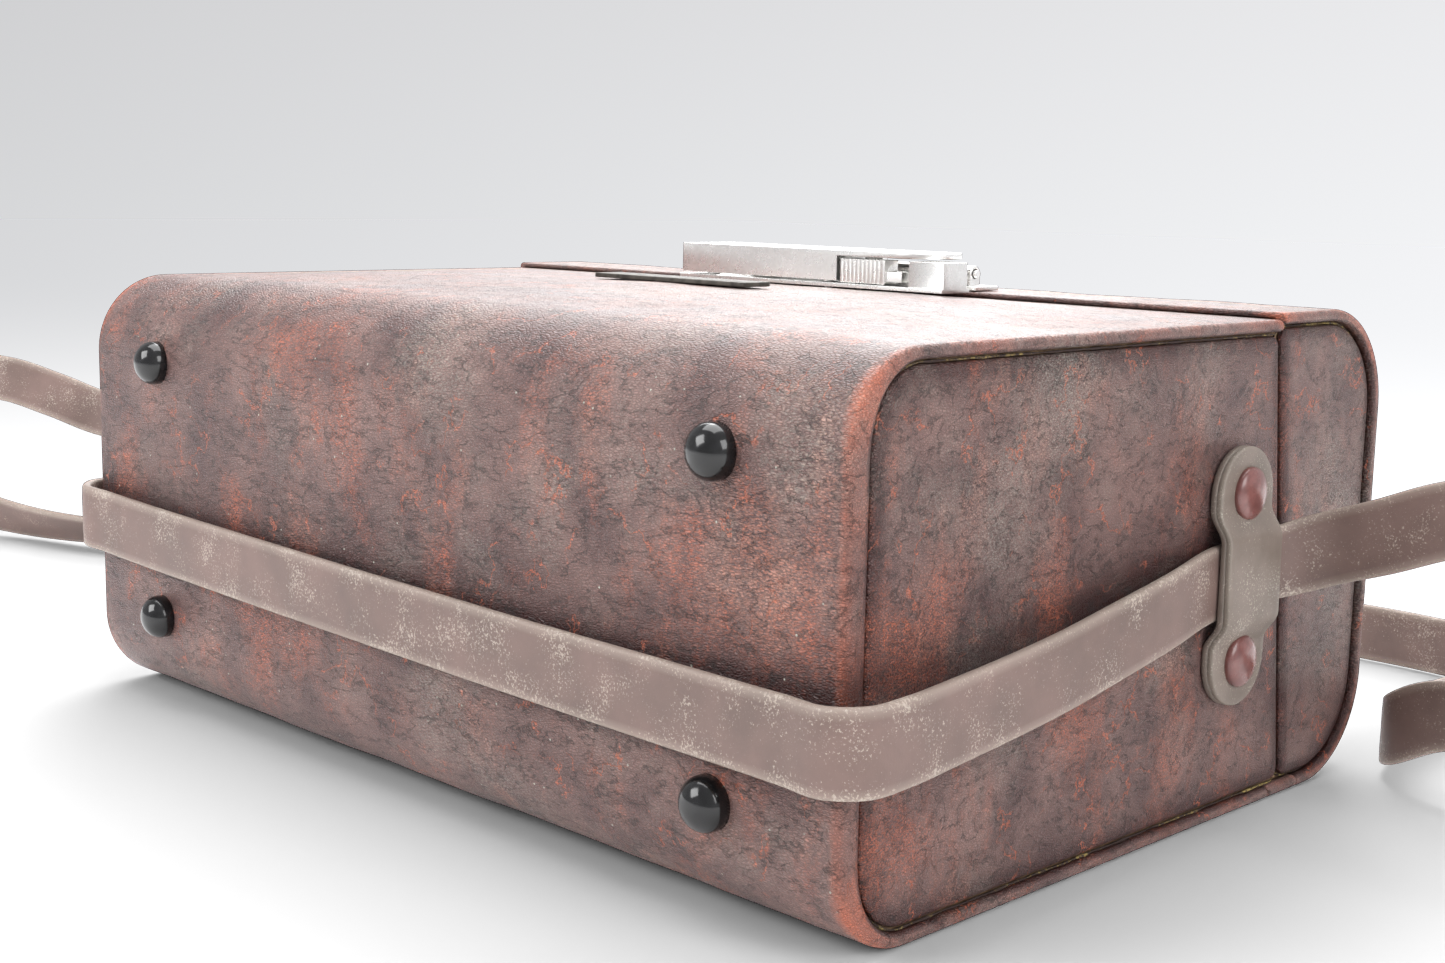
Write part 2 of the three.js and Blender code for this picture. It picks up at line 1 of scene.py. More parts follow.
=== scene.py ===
# %% [markdown]
# # A leather-covered carrying case with a hinged lid
#
# The case is a stiff box of fibreboard with leather glued round it. It lies on its back, with the
# four feet of its bottom towards us, its front latch on top and the lid at the far end. The packed
# model gives every place and size. This lesson builds the surfaces that the eye sees around it:
# leather with rolled edges, a flat shoulder strap, domed feet and a bright latch.

# %% Load the frame
import math
from functools import partial

import bpy
import numpy as np
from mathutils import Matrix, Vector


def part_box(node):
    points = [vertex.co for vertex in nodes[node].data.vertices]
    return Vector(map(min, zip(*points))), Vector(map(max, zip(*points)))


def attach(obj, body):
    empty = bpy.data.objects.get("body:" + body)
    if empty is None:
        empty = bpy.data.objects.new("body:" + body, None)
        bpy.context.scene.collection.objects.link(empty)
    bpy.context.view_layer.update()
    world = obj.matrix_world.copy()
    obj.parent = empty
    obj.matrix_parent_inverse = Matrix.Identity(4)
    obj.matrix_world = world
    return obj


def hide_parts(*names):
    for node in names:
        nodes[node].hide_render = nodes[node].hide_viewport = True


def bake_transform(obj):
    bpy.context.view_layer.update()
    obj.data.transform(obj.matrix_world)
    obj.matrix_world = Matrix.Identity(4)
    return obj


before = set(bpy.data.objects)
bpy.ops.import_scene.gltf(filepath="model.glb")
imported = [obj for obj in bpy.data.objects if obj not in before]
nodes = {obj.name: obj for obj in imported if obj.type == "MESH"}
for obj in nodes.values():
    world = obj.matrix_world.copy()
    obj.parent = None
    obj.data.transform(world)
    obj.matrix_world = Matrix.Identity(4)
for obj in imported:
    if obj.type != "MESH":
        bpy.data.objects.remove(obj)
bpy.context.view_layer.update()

# %% [markdown]
# ## Working in millimetres
#
# A case maker measures from the bottom panel and the back panel in millimetres. The shapes below do
# the same: x runs along the case from its middle, y up from the bottom panel, z out of the back
# panel. One function turns them into the frame's metres.

# %% Sizes of the case
MM = 0.001
HALF = 155.0            # half the length
DEPTH = 128.0           # back panel to front panel
HEIGHT = 221.5          # bottom panel to lid top
MID_Z = DEPTH / 2
BOTTOM_RADIUS = 23.0
LID_RADIUS = 28.0
LIP_PROUD = 1.8         # the lid stands this far out of the front panel
PART_Y = 174.0          # the parting line, half way through the depth
PART_SLOPE = -0.115     # it is lower at the front
PART_GAP = 0.25         # from the line to each edge
LEATHER = 1.6
RIM_THICK = 3.1         # the rolled rim round each end
RIM_LENGTH = 3.2
BOTTOM_RIM = 4.5        # the rims are this much thicker on the bottom panel's side
GROOVE = 1.1
PANEL_X = 154.0         # face of the end panels
Y_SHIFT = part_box("body_wrap")[0].y / MM   # the bottom panel is y = 0 here


def to_row(points):
    """Case millimetres to the frame's metres: shift y, then divide by a thousand."""
    return (np.asarray(points, float) + (0.0, Y_SHIFT, 0.0)) * MM


def parting_y(z):
    """Height of the parting line: a straight slope through the middle of the depth."""
    return PART_Y + PART_SLOPE * (z - MID_Z)


print("bottom panel at y =", round(Y_SHIFT, 3), "mm in the frame")

# %% [markdown]
# ## The camera
#
# It stands low, turned 45 degrees from the front of the bottom panel and 9 degrees above it, with a
# slight roll. The axes are worked out from those angles, and become the camera's rotation.

# %% Camera
from mathutils import Matrix


def add_object(name, data):
    """An object of that data, linked to the scene."""
    thing = bpy.data.objects.new(name, data)
    bpy.context.scene.collection.objects.link(thing)
    return thing


def pose(x, y, z, place):
    """The matrix whose columns are three axes and a place."""
    return Matrix(np.vstack([np.c_[x, y, z, place], [0.0, 0.0, 0.0, 1.0]]).tolist())


AZIMUTH = math.radians(45.06)
ELEVATION = math.radians(8.76)
ROLL = math.radians(1.14)
FOCAL_MM = 47.61
CAMERA_PLACE = (0.39946, -0.38627, 0.15866)

back = np.array([math.sin(AZIMUTH) * math.cos(ELEVATION), -math.cos(AZIMUTH) * math.cos(ELEVATION),
                 math.sin(ELEVATION)])
level = np.array([math.cos(AZIMUTH), math.sin(AZIMUTH), 0.0])
upright = np.cross(back, level)
cam_x = math.cos(ROLL) * level + math.sin(ROLL) * upright
cam_y = -math.sin(ROLL) * level + math.cos(ROLL) * upright

camera = add_object("camera", bpy.data.cameras.new("camera"))
camera.matrix_world = pose(cam_x, cam_y, back, CAMERA_PLACE)
camera.data.lens = FOCAL_MM
camera.data.sensor_width = 36.0
camera.data.clip_start = 0.01
bpy.context.scene.camera = camera
print("camera at", CAMERA_PLACE, "focal length", FOCAL_MM, "mm")

# %% [markdown]
# ## Helpers for surfaces
#
# Each new piece is a grid of points, worked out all at once as an array, and quads between the
# points. Points that fall on the same place, as at a pole or a seam, are welded, so that the
# surface is closed.


# %% Mesh helpers
def grid_quads(rows, columns, around=False):
    """Quads of a grid: corners (i, j), (i, j+1), (i+1, j+1), (i+1, j). Around joins the last column
    to the first."""
    last = columns if around else columns - 1
    i, j = np.meshgrid(np.arange(rows - 1), np.arange(last), indexing="ij")
    k = (j + 1) % columns
    start, above = i * columns, (i + 1) * columns
    return np.stack([start + j, start + k, above + k, above + j], -1).reshape(-1, 4)


def weld(points, quads):
    """Merges points nearer than a micrometre, and drops the corners that a merged quad repeats.
    Returns the places, the faces, and which point each place came from."""
    _, first, where = np.unique(np.round(points / 1e-6).astype(np.int64), axis=0,
                                return_index=True, return_inverse=True)
    where = where.reshape(-1)
    faces = [list(dict.fromkeys(q)) for q in where[quads].tolist()]
    return points[first], [f for f in faces if len(f) > 2], first


def new_piece(name, grid, material, body=None, values=None, flip=False, quads=None):
    """Makes the mesh object from rows of points in case millimetres, each row a closed ring unless
    quads are given: welded points, smooth faces, and one float attribute for each entry of values."""
    if quads is None:
        quads = grid_quads(*grid.shape[:2], around=True)
    if flip:
        quads = quads[:, ::-1]
    places, faces, first = weld(to_row(grid.reshape(-1, 3)), quads)
    mesh = bpy.data.meshes.new(name)
    mesh.from_pydata(places.tolist(), [], faces)
    mesh.polygons.foreach_set("use_smooth", np.ones(len(mesh.polygons), bool))
    for label, value in (values or {}).items():
        layer = mesh.attributes.new(label, "FLOAT", "POINT")
        layer.data.foreach_set("value", np.asarray(value, np.float32).ravel()[first])
    mesh.materials.append(material)
    piece = add_object(name, mesh)
    if body:
        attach(piece, body)
    return piece


def smooth_step(low, high, value):
    """0 below low, 1 above high, and a smooth S between."""
    t = np.clip((value - low) / (high - low), 0.0, 1.0)
    return t * t * (3.0 - 2.0 * t)


# %% [markdown]
# ## Helpers for materials
#
# Colours are written as sRGB hex and turned to linear once. One function adds a node with its
# settings and its links, so that a material reads from top to bottom like a recipe.


# %% Material helpers
def linear(hex_colour):
    """sRGB hex to linear RGBA: divide by 12.92 below 0.04045, else raise to the power 2.4."""
    c = np.array([int(hex_colour[i:i + 2], 16) for i in (1, 3, 5)]) / 255.0
    c = np.where(c <= 0.04045, c / 12.92, ((c + 0.055) / 1.055) ** 2.4)
    return (*c.tolist(), 1.0)


def add_node(tree, kind, inputs=None, **settings):
    """Adds a node, whose kind is given without its "ShaderNode", sets its settings, and gives each
    input a value or a link. A node given as a value is linked by its first output."""
    node = tree.nodes.new("ShaderNode" + kind)
    for key, value in settings.items():
        setattr(node, key, value)
    for socket, value in (inputs or {}).items():
        if isinstance(value, bpy.types.Node):
            value = value.outputs[0]
        if isinstance(value, bpy.types.NodeSocket):
            tree.links.new(value, node.inputs[socket])
        else:
            node.inputs[socket].default_value = value
    return node


def new_material(name):
    """An empty material, and add_node for its own tree."""
    material = bpy.data.materials.new(name)
    material.use_nodes = True
    material.node_tree.nodes.clear()
    return material, partial(add_node, material.node_tree)


def per_mm(size):
    """Texture scale, in repeats per metre, of a pattern whose grain is that many millimetres."""
    return 1.0 / (size * MM)


# %% [markdown]
# ## Case leather
#
# The real finish is vegetable-tanned cowhide, dyed red-brown over a tan base and waxed. Time has rubbed
# the dye: the high spots and the rims show orange, fine creases run over it, and the wax has bloomed to
# a grey haze in places. That haze, its pale specks on the high grain and the greyish mid dye are partly
# a painted sheen: the reflection of the waxed surface put into the colour. The grain is pebbles of about
# a millimetre, longer than wide. Everything is made from noise and cells in Object coordinates, so that
# the pattern runs on from one piece to the next as one hide does. The attribute "worn" is 1 where a hand
# rubs the rims, "tan" where the panels are rubbed, "fresh" where the dye is darkest: unfaded dye beside
# the strap, with painted shade there and along the grooves; "dusty" where the grey film and its painted
# sheen are thick.


# %% Case leather material
def leather_material(name, deep, mid, dark_dye_and_shade_colour, rubbed, bloom_and_sheen, gloss):
    """Deep and mid are the dye, mid partly a painted sheen as well; dark_dye_and_shade_colour is the
    dark red put where the dye is unfaded beside the strap and where painted shade falls beside the strap
    and along the grooves; rubbed is the tan under the dye, and bloom the grey haze, partly wax bloom and
    partly painted sheen."""
    material, add = new_material(name)
    place = add("TexCoord").outputs["Object"]
    worn, dark_dye_and_shade, tan, haze_and_sheen = (add("Attribute", attribute_name=label).outputs["Fac"]
                               for label in ("worn", "dark_dye_and_shade", "tan", "haze_and_sheen"))
    # Hide grows in one direction: stretch the grain along it.
    hide = add("Mapping", {"Vector": place, "Rotation": (0.5, 0.35, 0.6), "Scale": (0.85, 1.6, 2.1)})
    wander = add("TexNoise", {"Vector": place, "Scale": per_mm(2.6), "Detail": 2.0})
    bent = add("Mix", {0: 0.0014, 4: hide, 5: wander.outputs["Color"]}, data_type="VECTOR").outputs[1]
    pebbles = add("TexVoronoi", {"Vector": bent, "Scale": per_mm(1.15)}, feature="DISTANCE_TO_EDGE")
    pebble_top = add("MapRange", {0: pebbles, 1: 0.0, 2: 0.26}, interpolation_type="SMOOTHSTEP")
    fine = add("TexNoise", {"Vector": hide, "Scale": per_mm(0.9), "Detail": 3.0, "Roughness": 0.65})
    # Dye: broad clouds with smaller ones in them.
    clouds = add("TexNoise", {"Vector": place, "Scale": per_mm(26.0), "Detail": 8.0, "Roughness": 0.66})
    cloudy = add("MapRange", {0: clouds, 1: 0.36, 2: 0.62})
    dye = add("Mix", {0: cloudy, 6: linear(deep), 7: linear(mid)}, data_type="RGBA").outputs[2]
    # Cracks and creases are thin level lines of a noise, shown only in patches.
    lines = []
    for size, width, low, high in ((17.0, 0.010, 0.50, 0.60), (9.0, 0.022, 0.34, 0.54)):
        vector = place if not lines else hide
        field = add("TexNoise", {"Vector": vector, "Scale": per_mm(size), "Detail": 5.0,
                                 "Roughness": 0.60})
        off = add("Math", {0: field, 1: 0.5}, operation="SUBTRACT")
        off = add("Math", {0: off}, operation="ABSOLUTE")
        thin = add("MapRange", {0: off, 1: width, 2: width * 0.25})
        where = add("TexNoise", {"Vector": vector, "Scale": per_mm(size * 0.8),
                                 "Detail": 2.0}).outputs["Color"]
        where = add("SeparateColor", {0: where}).outputs[1]
        patch = add("MapRange", {0: where, 1: low, 2: high})
        lines.append(add("Math", {0: thin, 1: patch}, operation="MULTIPLY"))
    crack, crease = lines
    # Rubbed tan: specks on the high grain, thick in streaks and where the case is handled.
    streak_place = add("Mapping", {"Vector": place, "Location": (0.37, 0.11, 0.05),
                                   "Scale": (1.0, 1.0, 0.5)})
    streaks = add("TexNoise", {"Vector": streak_place, "Scale": per_mm(20.0), "Detail": 9.0,
                               "Roughness": 0.74})
    streaks = add("Math", {0: tan, 1: 0.13, 2: streaks}, operation="MULTIPLY_ADD")
    streaky = add("MapRange", {0: streaks, 1: 0.52, 2: 0.76})
    speckle = add("MapRange", {0: fine, 1: 0.42, 2: 0.60})
    rub = add("Math", {0: streaky, 1: speckle}, operation="MULTIPLY")
    crack_show = add("Math", {0: crack, 1: 0.85}, operation="MULTIPLY")
    rub = add("Math", {0: rub, 1: crack_show}, operation="MAXIMUM")
    rub = add("Math", {0: rub, 1: 0.85}, operation="MULTIPLY")
    edge_noise = add("Math", {0: fine, 1: 0.30, 2: streaks}, operation="MULTIPLY_ADD")
    edge_noise = add("Math", {0: worn, 1: edge_noise}, operation="MULTIPLY")
    edge = add("MapRange", {0: edge_noise, 1: 0.28, 2: 0.78, 4: 0.92})
    # Beside the strap the dark red is unfaded dye and painted shade; along the grooves it is painted
    # shade only. The clouds break it up.
    shaded = add("Math", {0: clouds, 1: 0.5, 2: 0.70}, operation="MULTIPLY_ADD")
    shaded = add("Math", {0: dark_dye_and_shade, 1: shaded}, operation="MULTIPLY", use_clamp=True)
    dye = add("Mix", {0: shaded, 6: dye, 7: linear(dark_dye_and_shade_colour)}, data_type="RGBA").outputs[2]
    rub = add("Math", {0: rub, 1: edge}, operation="MAXIMUM", use_clamp=True)
    dyed = add("Mix", {0: rub, 6: dye, 7: linear(rubbed)}, data_type="RGBA").outputs[2]
    # Bloom and painted sheen: a pale film in hazes, shown as specks on the high grain that stand partly
    # for the wax's reflection, and specks of dust.
    haze = add("TexNoise", {"Vector": place, "Scale": per_mm(40.0), "Detail": 8.0, "Roughness": 0.7})
    haze = add("Math", {0: haze_and_sheen, 1: 0.16, 2: haze}, operation="MULTIPLY_ADD")
    hazy = add("MapRange", {0: haze, 1: 0.50, 2: 0.76, 4: 0.42})
    hazy = add("Math", {0: hazy, 1: speckle}, operation="MULTIPLY")
    dust = add("TexVoronoi", {"Vector": place, "Scale": per_mm(3.4)}).outputs
    dot = add("MapRange", {0: dust["Distance"], 1: 0.11, 2: 0.06})
    lot = add("SeparateColor", {0: dust["Color"]})
    chosen = add("Math", {0: lot, 1: 0.78}, operation="GREATER_THAN")
    dot = add("Math", {0: dot, 1: chosen}, operation="MULTIPLY")
    pale = add("Math", {0: hazy, 1: dot}, operation="MAXIMUM")
    colour = add("Mix", {0: pale, 6: dyed, 7: linear(bloom_and_sheen)}, data_type="RGBA").outputs[2]
    # The valleys between pebbles, and the creases, are darker.
    valley = add("MapRange", {0: pebble_top, 3: 0.66, 4: 1.04})
    dark = add("MapRange", {0: crease, 3: 1.0, 4: 0.46})
    keep = add("Math", {0: valley, 1: dark}, operation="MULTIPLY")
    colour = add("Mix", {0: 1.0, 6: colour, 7: keep}, data_type="RGBA",
                 blend_type="MULTIPLY").outputs[2]
    rough = add("MapRange", {0: clouds, 1: 0.3, 2: 0.7, 3: gloss, 4: gloss + 0.16})
    height = add("Math", {0: fine, 1: 0.6, 2: pebble_top}, operation="MULTIPLY_ADD")
    deep_lines = add("Math", {0: crease, 1: crack}, operation="MAXIMUM")
    height = add("Math", {0: deep_lines, 1: -1.4, 2: height}, operation="MULTIPLY_ADD")
    bump = add("Bump", {"Strength": 0.8, "Distance": 0.24 * MM, "Height": height})
    shader = add("BsdfPrincipled", {"Base Color": colour, "Roughness": rough, "IOR": 1.5,
                                    "Normal": bump})
    add("OutputMaterial", {0: shader})
    return material


case_leather = leather_material("waxed_cowhide_red_brown", "#553b39", "#80635d", "#380f0b", "#c4694a",
                                "#b3b2a6", 0.36)
print(case_leather.name, len(case_leather.node_tree.nodes), "nodes")

# %% [markdown]
# ## Strap leather
#
# The strap and its keepers are a plainer leather, painted grey-brown on both faces and matt. The
# paint has dulled, and it is peppered with whitish specks of about half a millimetre that gather
# along the edges. The attribute "worn" is 1 at the long edges.


# %% Strap leather material
def strap_material(name, base, dark, pale, speck_share):
    """Base and dark are the paint, pale the specks, and speck_share the grain's height where they
    start."""
    material, add = new_material(name)
    place = add("TexCoord").outputs["Object"]
    worn = add("Attribute", attribute_name="worn").outputs["Fac"]
    clouds = add("TexNoise", {"Vector": place, "Scale": per_mm(22.0), "Detail": 5.0, "Roughness": 0.6})
    cloudy = add("MapRange", {0: clouds, 1: 0.35, 2: 0.65})
    paint = add("Mix", {0: cloudy, 6: linear(dark), 7: linear(base)}, data_type="RGBA").outputs[2]
    grit = add("TexNoise", {"Vector": place, "Scale": per_mm(0.6), "Detail": 3.0, "Roughness": 0.7})
    groups = add("TexNoise", {"Vector": place, "Scale": per_mm(12.0), "Detail": 4.0})
    lean = add("Math", {0: groups, 1: 0.55, 2: grit}, operation="MULTIPLY_ADD")
    lean = add("Math", {0: worn, 1: 0.05, 2: lean}, operation="MULTIPLY_ADD")
    specks = add("MapRange", {0: lean, 1: speck_share, 2: speck_share + 0.09, 4: 0.62})
    colour = add("Mix", {0: specks, 6: paint, 7: linear(pale)}, data_type="RGBA").outputs[2]
    light_edge = add("Math", {0: worn, 1: 0.30}, operation="MULTIPLY")
    colour = add("Mix", {0: light_edge, 6: colour, 7: linear(pale)}, data_type="RGBA").outputs[2]
    rough = add("MapRange", {0: clouds, 1: 0.3, 2: 0.7, 3: 0.46, 4: 0.62})
    height = add("Math", {0: specks, 1: 0.8, 2: grit}, operation="MULTIPLY_ADD")
    bump = add("Bump", {"Strength": 0.35, "Distance": 0.15 * MM, "Height": height})
    shader = add("BsdfPrincipled", {"Base Color": colour, "Roughness": rough, "IOR": 1.48,
                                    "Normal": bump})
    add("OutputMaterial", {0: shader})
    return material


strap_leather = strap_material("painted_strap_leather", "#745f59", "#614f49", "#bcb1a4", 0.88)
keeper_leather = strap_material("painted_keeper_leather", "#7c7068", "#61564e", "#b5afa2", 0.875)
print(strap_leather.name, keeper_leather.name)

# %% [markdown]
# ## The strap's route
#
# One flat strap, 19 mm wide and 2.8 mm thick, starts behind the lid, drops to the table, rises over
# the table to the keeper on the right end, goes down that end, round the bottom of the case, up the
# left end through its keeper, and back over the table to where it started. The rows are the
# same ones that the solid strap follows: x, y, z in millimetres and the lean in degrees. A smooth
# curve through them (Catmull and Rom's, with its knots spaced by the square root of the distance)
# gives the middle of the strap.

# %% Route of the strap
STRAP_WIDTH = 19.0
STRAP_THICK = 2.8
STRAP_ROUTE = np.array([
    [-34, 341.4, 11, 0], [0, 341.4, 10.6, 0], [34, 341.2, 10, 0], [80, 339.8, 10, 0],
    [120, 339.2, 10, 0], [147, 333, 10, 0], [161, 312, 10, 0], [162, 270, 10, 0],
    [161.5, 232, 11, 0], [168, 214, 14, 0], [184.6, 206, 23, 0], [208, 208, 27, 0],
    [232, 214, 37, 0], [250, 211, 55, 0], [256, 196, 75, 0], [246, 180, 86, 0],
    [224, 173, 87, 0], [200, 172, 82, 0], [182, 173, 75, 0], [168, 172.4, 70, 0],
    [159.4, 168.6, 66.4, 0], [156.1, 162, 65, 0], [156.1, 148.5, 64, 0], [156.2, 135, 63.2, 0],
    [158.6, 114, 60.4, 0], [160, 90, 57, 0], [160.6, 66.5, 53.4, 0], [161.2, 44, 51, 0],
    [162.6, 26, 50, 0], [164, 10, 49.4, 0], [163, -1, 49, 0], [156, -6.4, 48.6, 0],
    [144, -5, 48.2, 0], [118, -3.3, 47.8, 0], [60, -2.7, 48.2, 0], [0, -2.7, 49.2, 0],
    [-60, -2.7, 50.4, 0], [-118, -3.2, 52, 0], [-144, -4.4, 53.4, 0], [-154.6, -4.8, 53.9, 0],
    [-160.4, 0, 54.3, 0], [-161, 10.5, 54.6, 0], [-160.2, 26, 55.6, 0], [-159.6, 60, 58, 0],
    [-158.6, 100, 61, 0], [-156.2, 135, 63.4, 0], [-156.1, 148.5, 64, 0], [-156.1, 162, 64.3, 0],
    [-159.6, 168.6, 64.2, 0], [-168, 172, 63.6, 0], [-190, 171, 61.5, 4], [-245, 163, 57, 8],
    [-310, 145, 53, 12], [-370, 112.6, 56, 14], [-388, 97.4, 64, 14], [-405, 83, 70.5, 14],
    [-430, 65, 70, 10], [-450, 54, 57, 0], [-456, 54, 38, 0], [-443, 64, 19, 10],
    [-409, 82, 10.2, 30], [-353, 100, 8.6, 48], [-300, 134, 9.2, 40], [-262, 186, 10.2, 20],
    [-232, 244, 10.2, 0], [-196, 300, 10.2, 0], [-150, 330, 10.2, 0], [-96, 337.4, 10.2, 0],
    [-40, 338, 11, 0], [0, 338, 11, 0], [34, 338, 11, 0],
], float)


def smooth_curve(rows, steps):
    """Catmull-Rom through every row. Between rows 1 and 2 the point is a cubic whose end slopes come
    from rows 0 to 3, with knots apart by the square root of the distance between rows."""
    rows = np.vstack([2 * rows[0] - rows[1], rows, 2 * rows[-1] - rows[-2]])
    gap = np.linalg.norm(np.diff(rows[:, :3], axis=0), axis=1) ** 0.5
    p0, p1, p2, p3 = rows[:-3], rows[1:-2], rows[2:-1], rows[3:]
    g0, g1, g2 = gap[:-2, None], gap[1:-1, None], gap[2:, None]
    slope1 = g1 * ((p1 - p0) / g0 - (p2 - p0) / (g0 + g1)) + (p2 - p1)
    slope2 = g1 * ((p3 - p2) / g2 - (p3 - p1) / (g1 + g2)) + (p2 - p1)
    t = (np.arange(steps) / steps)[None, :, None]
    a, b = p1[:, None], p2[:, None]
    m, n = slope1[:, None], slope2[:, None]
    cubic = ((2 * t**3 - 3 * t**2 + 1) * a + (t**3 - 2 * t**2 + t) * m
             + (3 * t**2 - 2 * t**3) * b + (t**3 - t**2) * n)
    return np.vstack([cubic.reshape(-1, rows.shape[1]), rows[-2]])


route = smooth_curve(STRAP_ROUTE, 8)
route[:, 3] = smooth_curve(np.c_[STRAP_ROUTE[:, :3], STRAP_ROUTE[:, 3]], 8)[:, 3]
centre = route[:, :3]
along = np.r_[0, np.cumsum(np.linalg.norm(np.diff(centre, axis=0), axis=1))]
print("strap length", round(along[-1]), "mm in", len(centre), "points")


# %% [markdown]
# The strap itself is its cross-section carried along the route. The section is a flat bar with its
# long edges rounded, a little thicker in its middle, as a folded and pressed strap is. It
# stands on edge: its thin way turns with the route, its width stays near the vertical.


# %% Strap surface
def bar_section(width, thick, rounding, across=9, corner=4):
    """Closed outline of a flat bar: straight faces joined by quarter circles. The first coordinate is
    the thin way. The two broad faces have extra points across them."""
    quarter = np.linspace(0, math.pi / 2, corner + 1)
    hx, hy = thick / 2 - rounding, width / 2 - rounding
    points = []
    for n, (sx, sy) in enumerate([(1, 1), (-1, 1), (-1, -1), (1, -1)]):
        angle = quarter + n * math.pi / 2
        points.append(np.array([sx * hx, sy * hy]) + np.c_[np.cos(angle), np.sin(angle)] * rounding)
    outline = np.vstack(points)
    fill = np.linspace(0, 1, across + 2)[1:-1, None]
    k = 2 * (corner + 1)
    left = outline[k - 1] * (1 - fill) + outline[k] * fill
    right = outline[-1] * (1 - fill) + outline[0] * fill
    return np.vstack([outline[:k], left, outline[k:], right])


def strap_surface():
    """Point = centre of the route + normal times the section's thin way + binormal times its width.
    The normal is up crossed with the direction of travel, turned about that direction by the lean.
    The first and last rings shrink a little, which rounds off the cut ends."""
    travel = np.gradient(centre, axis=0)
    travel /= np.linalg.norm(travel, axis=1, keepdims=True)
    side = np.cross([0.0, 0.0, 1.0], travel)
    side /= np.linalg.norm(side, axis=1, keepdims=True)
    lean = np.radians(route[:, 3])[:, None]
    normal = side * np.cos(lean) + np.cross(travel, side) * np.sin(lean)
    binormal = np.cross(travel, normal)
    section = bar_section(STRAP_WIDTH, STRAP_THICK, 1.05)
    # Long edges are pressed: the strap is thickest in its middle.
    thin = section[:, 0] * (1.0 - 0.10 * smooth_step(5.0, 9.0, np.abs(section[:, 1])))
    wide = section[:, 1]
    wobble = 0.25 * np.sin(along / 37.0) + 0.18 * np.sin(along / 11.3 + 1.0)
    rings = (centre[:, None] + normal[:, None] * thin[None, :, None]
             + binormal[:, None] * (wide[None, :, None] * (1 + 0.01 * wobble[:, None, None])))
    ends = [rings[0] * 0.12 + centre[0] * 0.88, rings[0] * 0.94 + centre[0] * 0.06]
    tips = [rings[-1] * 0.94 + centre[-1] * 0.06, rings[-1] * 0.12 + centre[-1] * 0.88]
    ends = [e - travel[0] * d for e, d in zip(ends, (0.35, 0.3))]
    tips = [e + travel[-1] * d for e, d in zip(tips, (0.3, 0.35))]
    rings = np.concatenate([np.stack(ends), rings, np.stack(tips)])
    start = np.repeat(centre[:1] - travel[:1] * 0.36, rings.shape[1], 0)
    finish = np.repeat(centre[-1:] + travel[-1:] * 0.36, rings.shape[1], 0)
    rings = np.concatenate([start[None], rings, finish[None]])
    worn = np.tile(smooth_step(7.6, 9.0, np.abs(wide)), (len(rings), 1))
    return rings, worn


rings, worn = strap_surface()
strap = new_piece("shoulder_strap", rings, strap_leather, "case", {"worn": worn})
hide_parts("strap")
print("strap:", len(strap.data.vertices), "points")


# %% [markdown]
# ## Round pieces
#
# Feet and rivet caps are pressed or turned, so each is a profile spun about its own axis.


# %% Lathe
def lathe(profile, segments=48):
    """Spins (radius, height) rows about the height axis: x = r cos t, y = r sin t, z = h."""
    profile = np.asarray(profile, float)
    t = np.arange(segments) * 2 * math.pi / segments
    r, h = profile[:, :1], profile[:, 1:]
    return np.stack([r * np.cos(t), r * np.sin(t), h + 0 * t], -1)


def dome_profile(radius, rise, skirt, base, rows=14):
    """A cap: flat underside, a short straight skirt with a rounded foot, then part of an ellipse up
    to the pole."""
    t = np.linspace(0, math.pi / 2, rows)
    shell = np.c_[radius * np.cos(t), skirt + (rise - skirt) * np.sin(t)]
    foot = [[0, base], [radius * 0.7, base], [radius - 0.35, base], [radius, base + 0.3]]
    shell[-1, 0] = 0
    return np.vstack([foot, shell])


def spun_piece(name, profile, spot, axis, material, body, segments=48):
    """Puts a spun piece on spot with its height along axis, which is +x, -x, -y or +y."""
    grid = lathe(profile, segments)
    a, b, h = grid[..., 0], grid[..., 1], grid[..., 2]
    turned = {
        "+x": (h, a, b), "-x": (-h, b, a), "+y": (b, h, a), "-y": (a, -h, b),
    }[axis]
    return new_piece(name, np.stack(turned, -1) + spot, material, body)


# %% [markdown]
# ## Enamel and metals
#
# The feet are steel domes under stoved black enamel: dark, glassy, with fine scratches that widen
# the highlights. The rivet caps carry red-brown lacquer. The latch is polished nickel plate.
# Washers and rivet tails inside are dull zinc.


# %% Hard materials
def hard_material(name, colour, dark, metallic, rough, scratch_mm, bump_mm, coat=0.0):
    """A smooth hard finish with cloudy wear: two colours mixed by noise, roughness that drifts, and
    a bump of fine scratches stretched one way."""
    material, add = new_material(name)
    place = add("TexCoord").outputs["Object"]
    clouds = add("TexNoise", {"Vector": place, "Scale": per_mm(3.5), "Detail": 5.0, "Roughness": 0.65})
    colours = add("MapRange", {0: clouds, 1: 0.40, 2: 0.68})
    shade = add("Mix", {0: colours, 6: linear(colour), 7: linear(dark)}, data_type="RGBA").outputs[2]
    roughness = add("MapRange", {0: clouds, 1: 0.35, 2: 0.7, 3: rough, 4: rough + 0.10})
    stretched = add("Mapping", {"Vector": place, "Rotation": (0.3, 0.5, 0.8),
                                "Scale": (1.0, 14.0, 1.0)})
    scratches = add("TexNoise", {"Vector": stretched, "Scale": per_mm(scratch_mm), "Detail": 3.0})
    bump = add("Bump", {"Strength": 0.3, "Distance": bump_mm * MM, "Height": scratches})
    shader = add("BsdfPrincipled", {"Base Color": shade, "Metallic": metallic, "Roughness": roughness,
                                    "Coat Weight": coat, "Coat Roughness": 0.06, "Normal": bump})
    add("OutputMaterial", {0: shader})
    return material


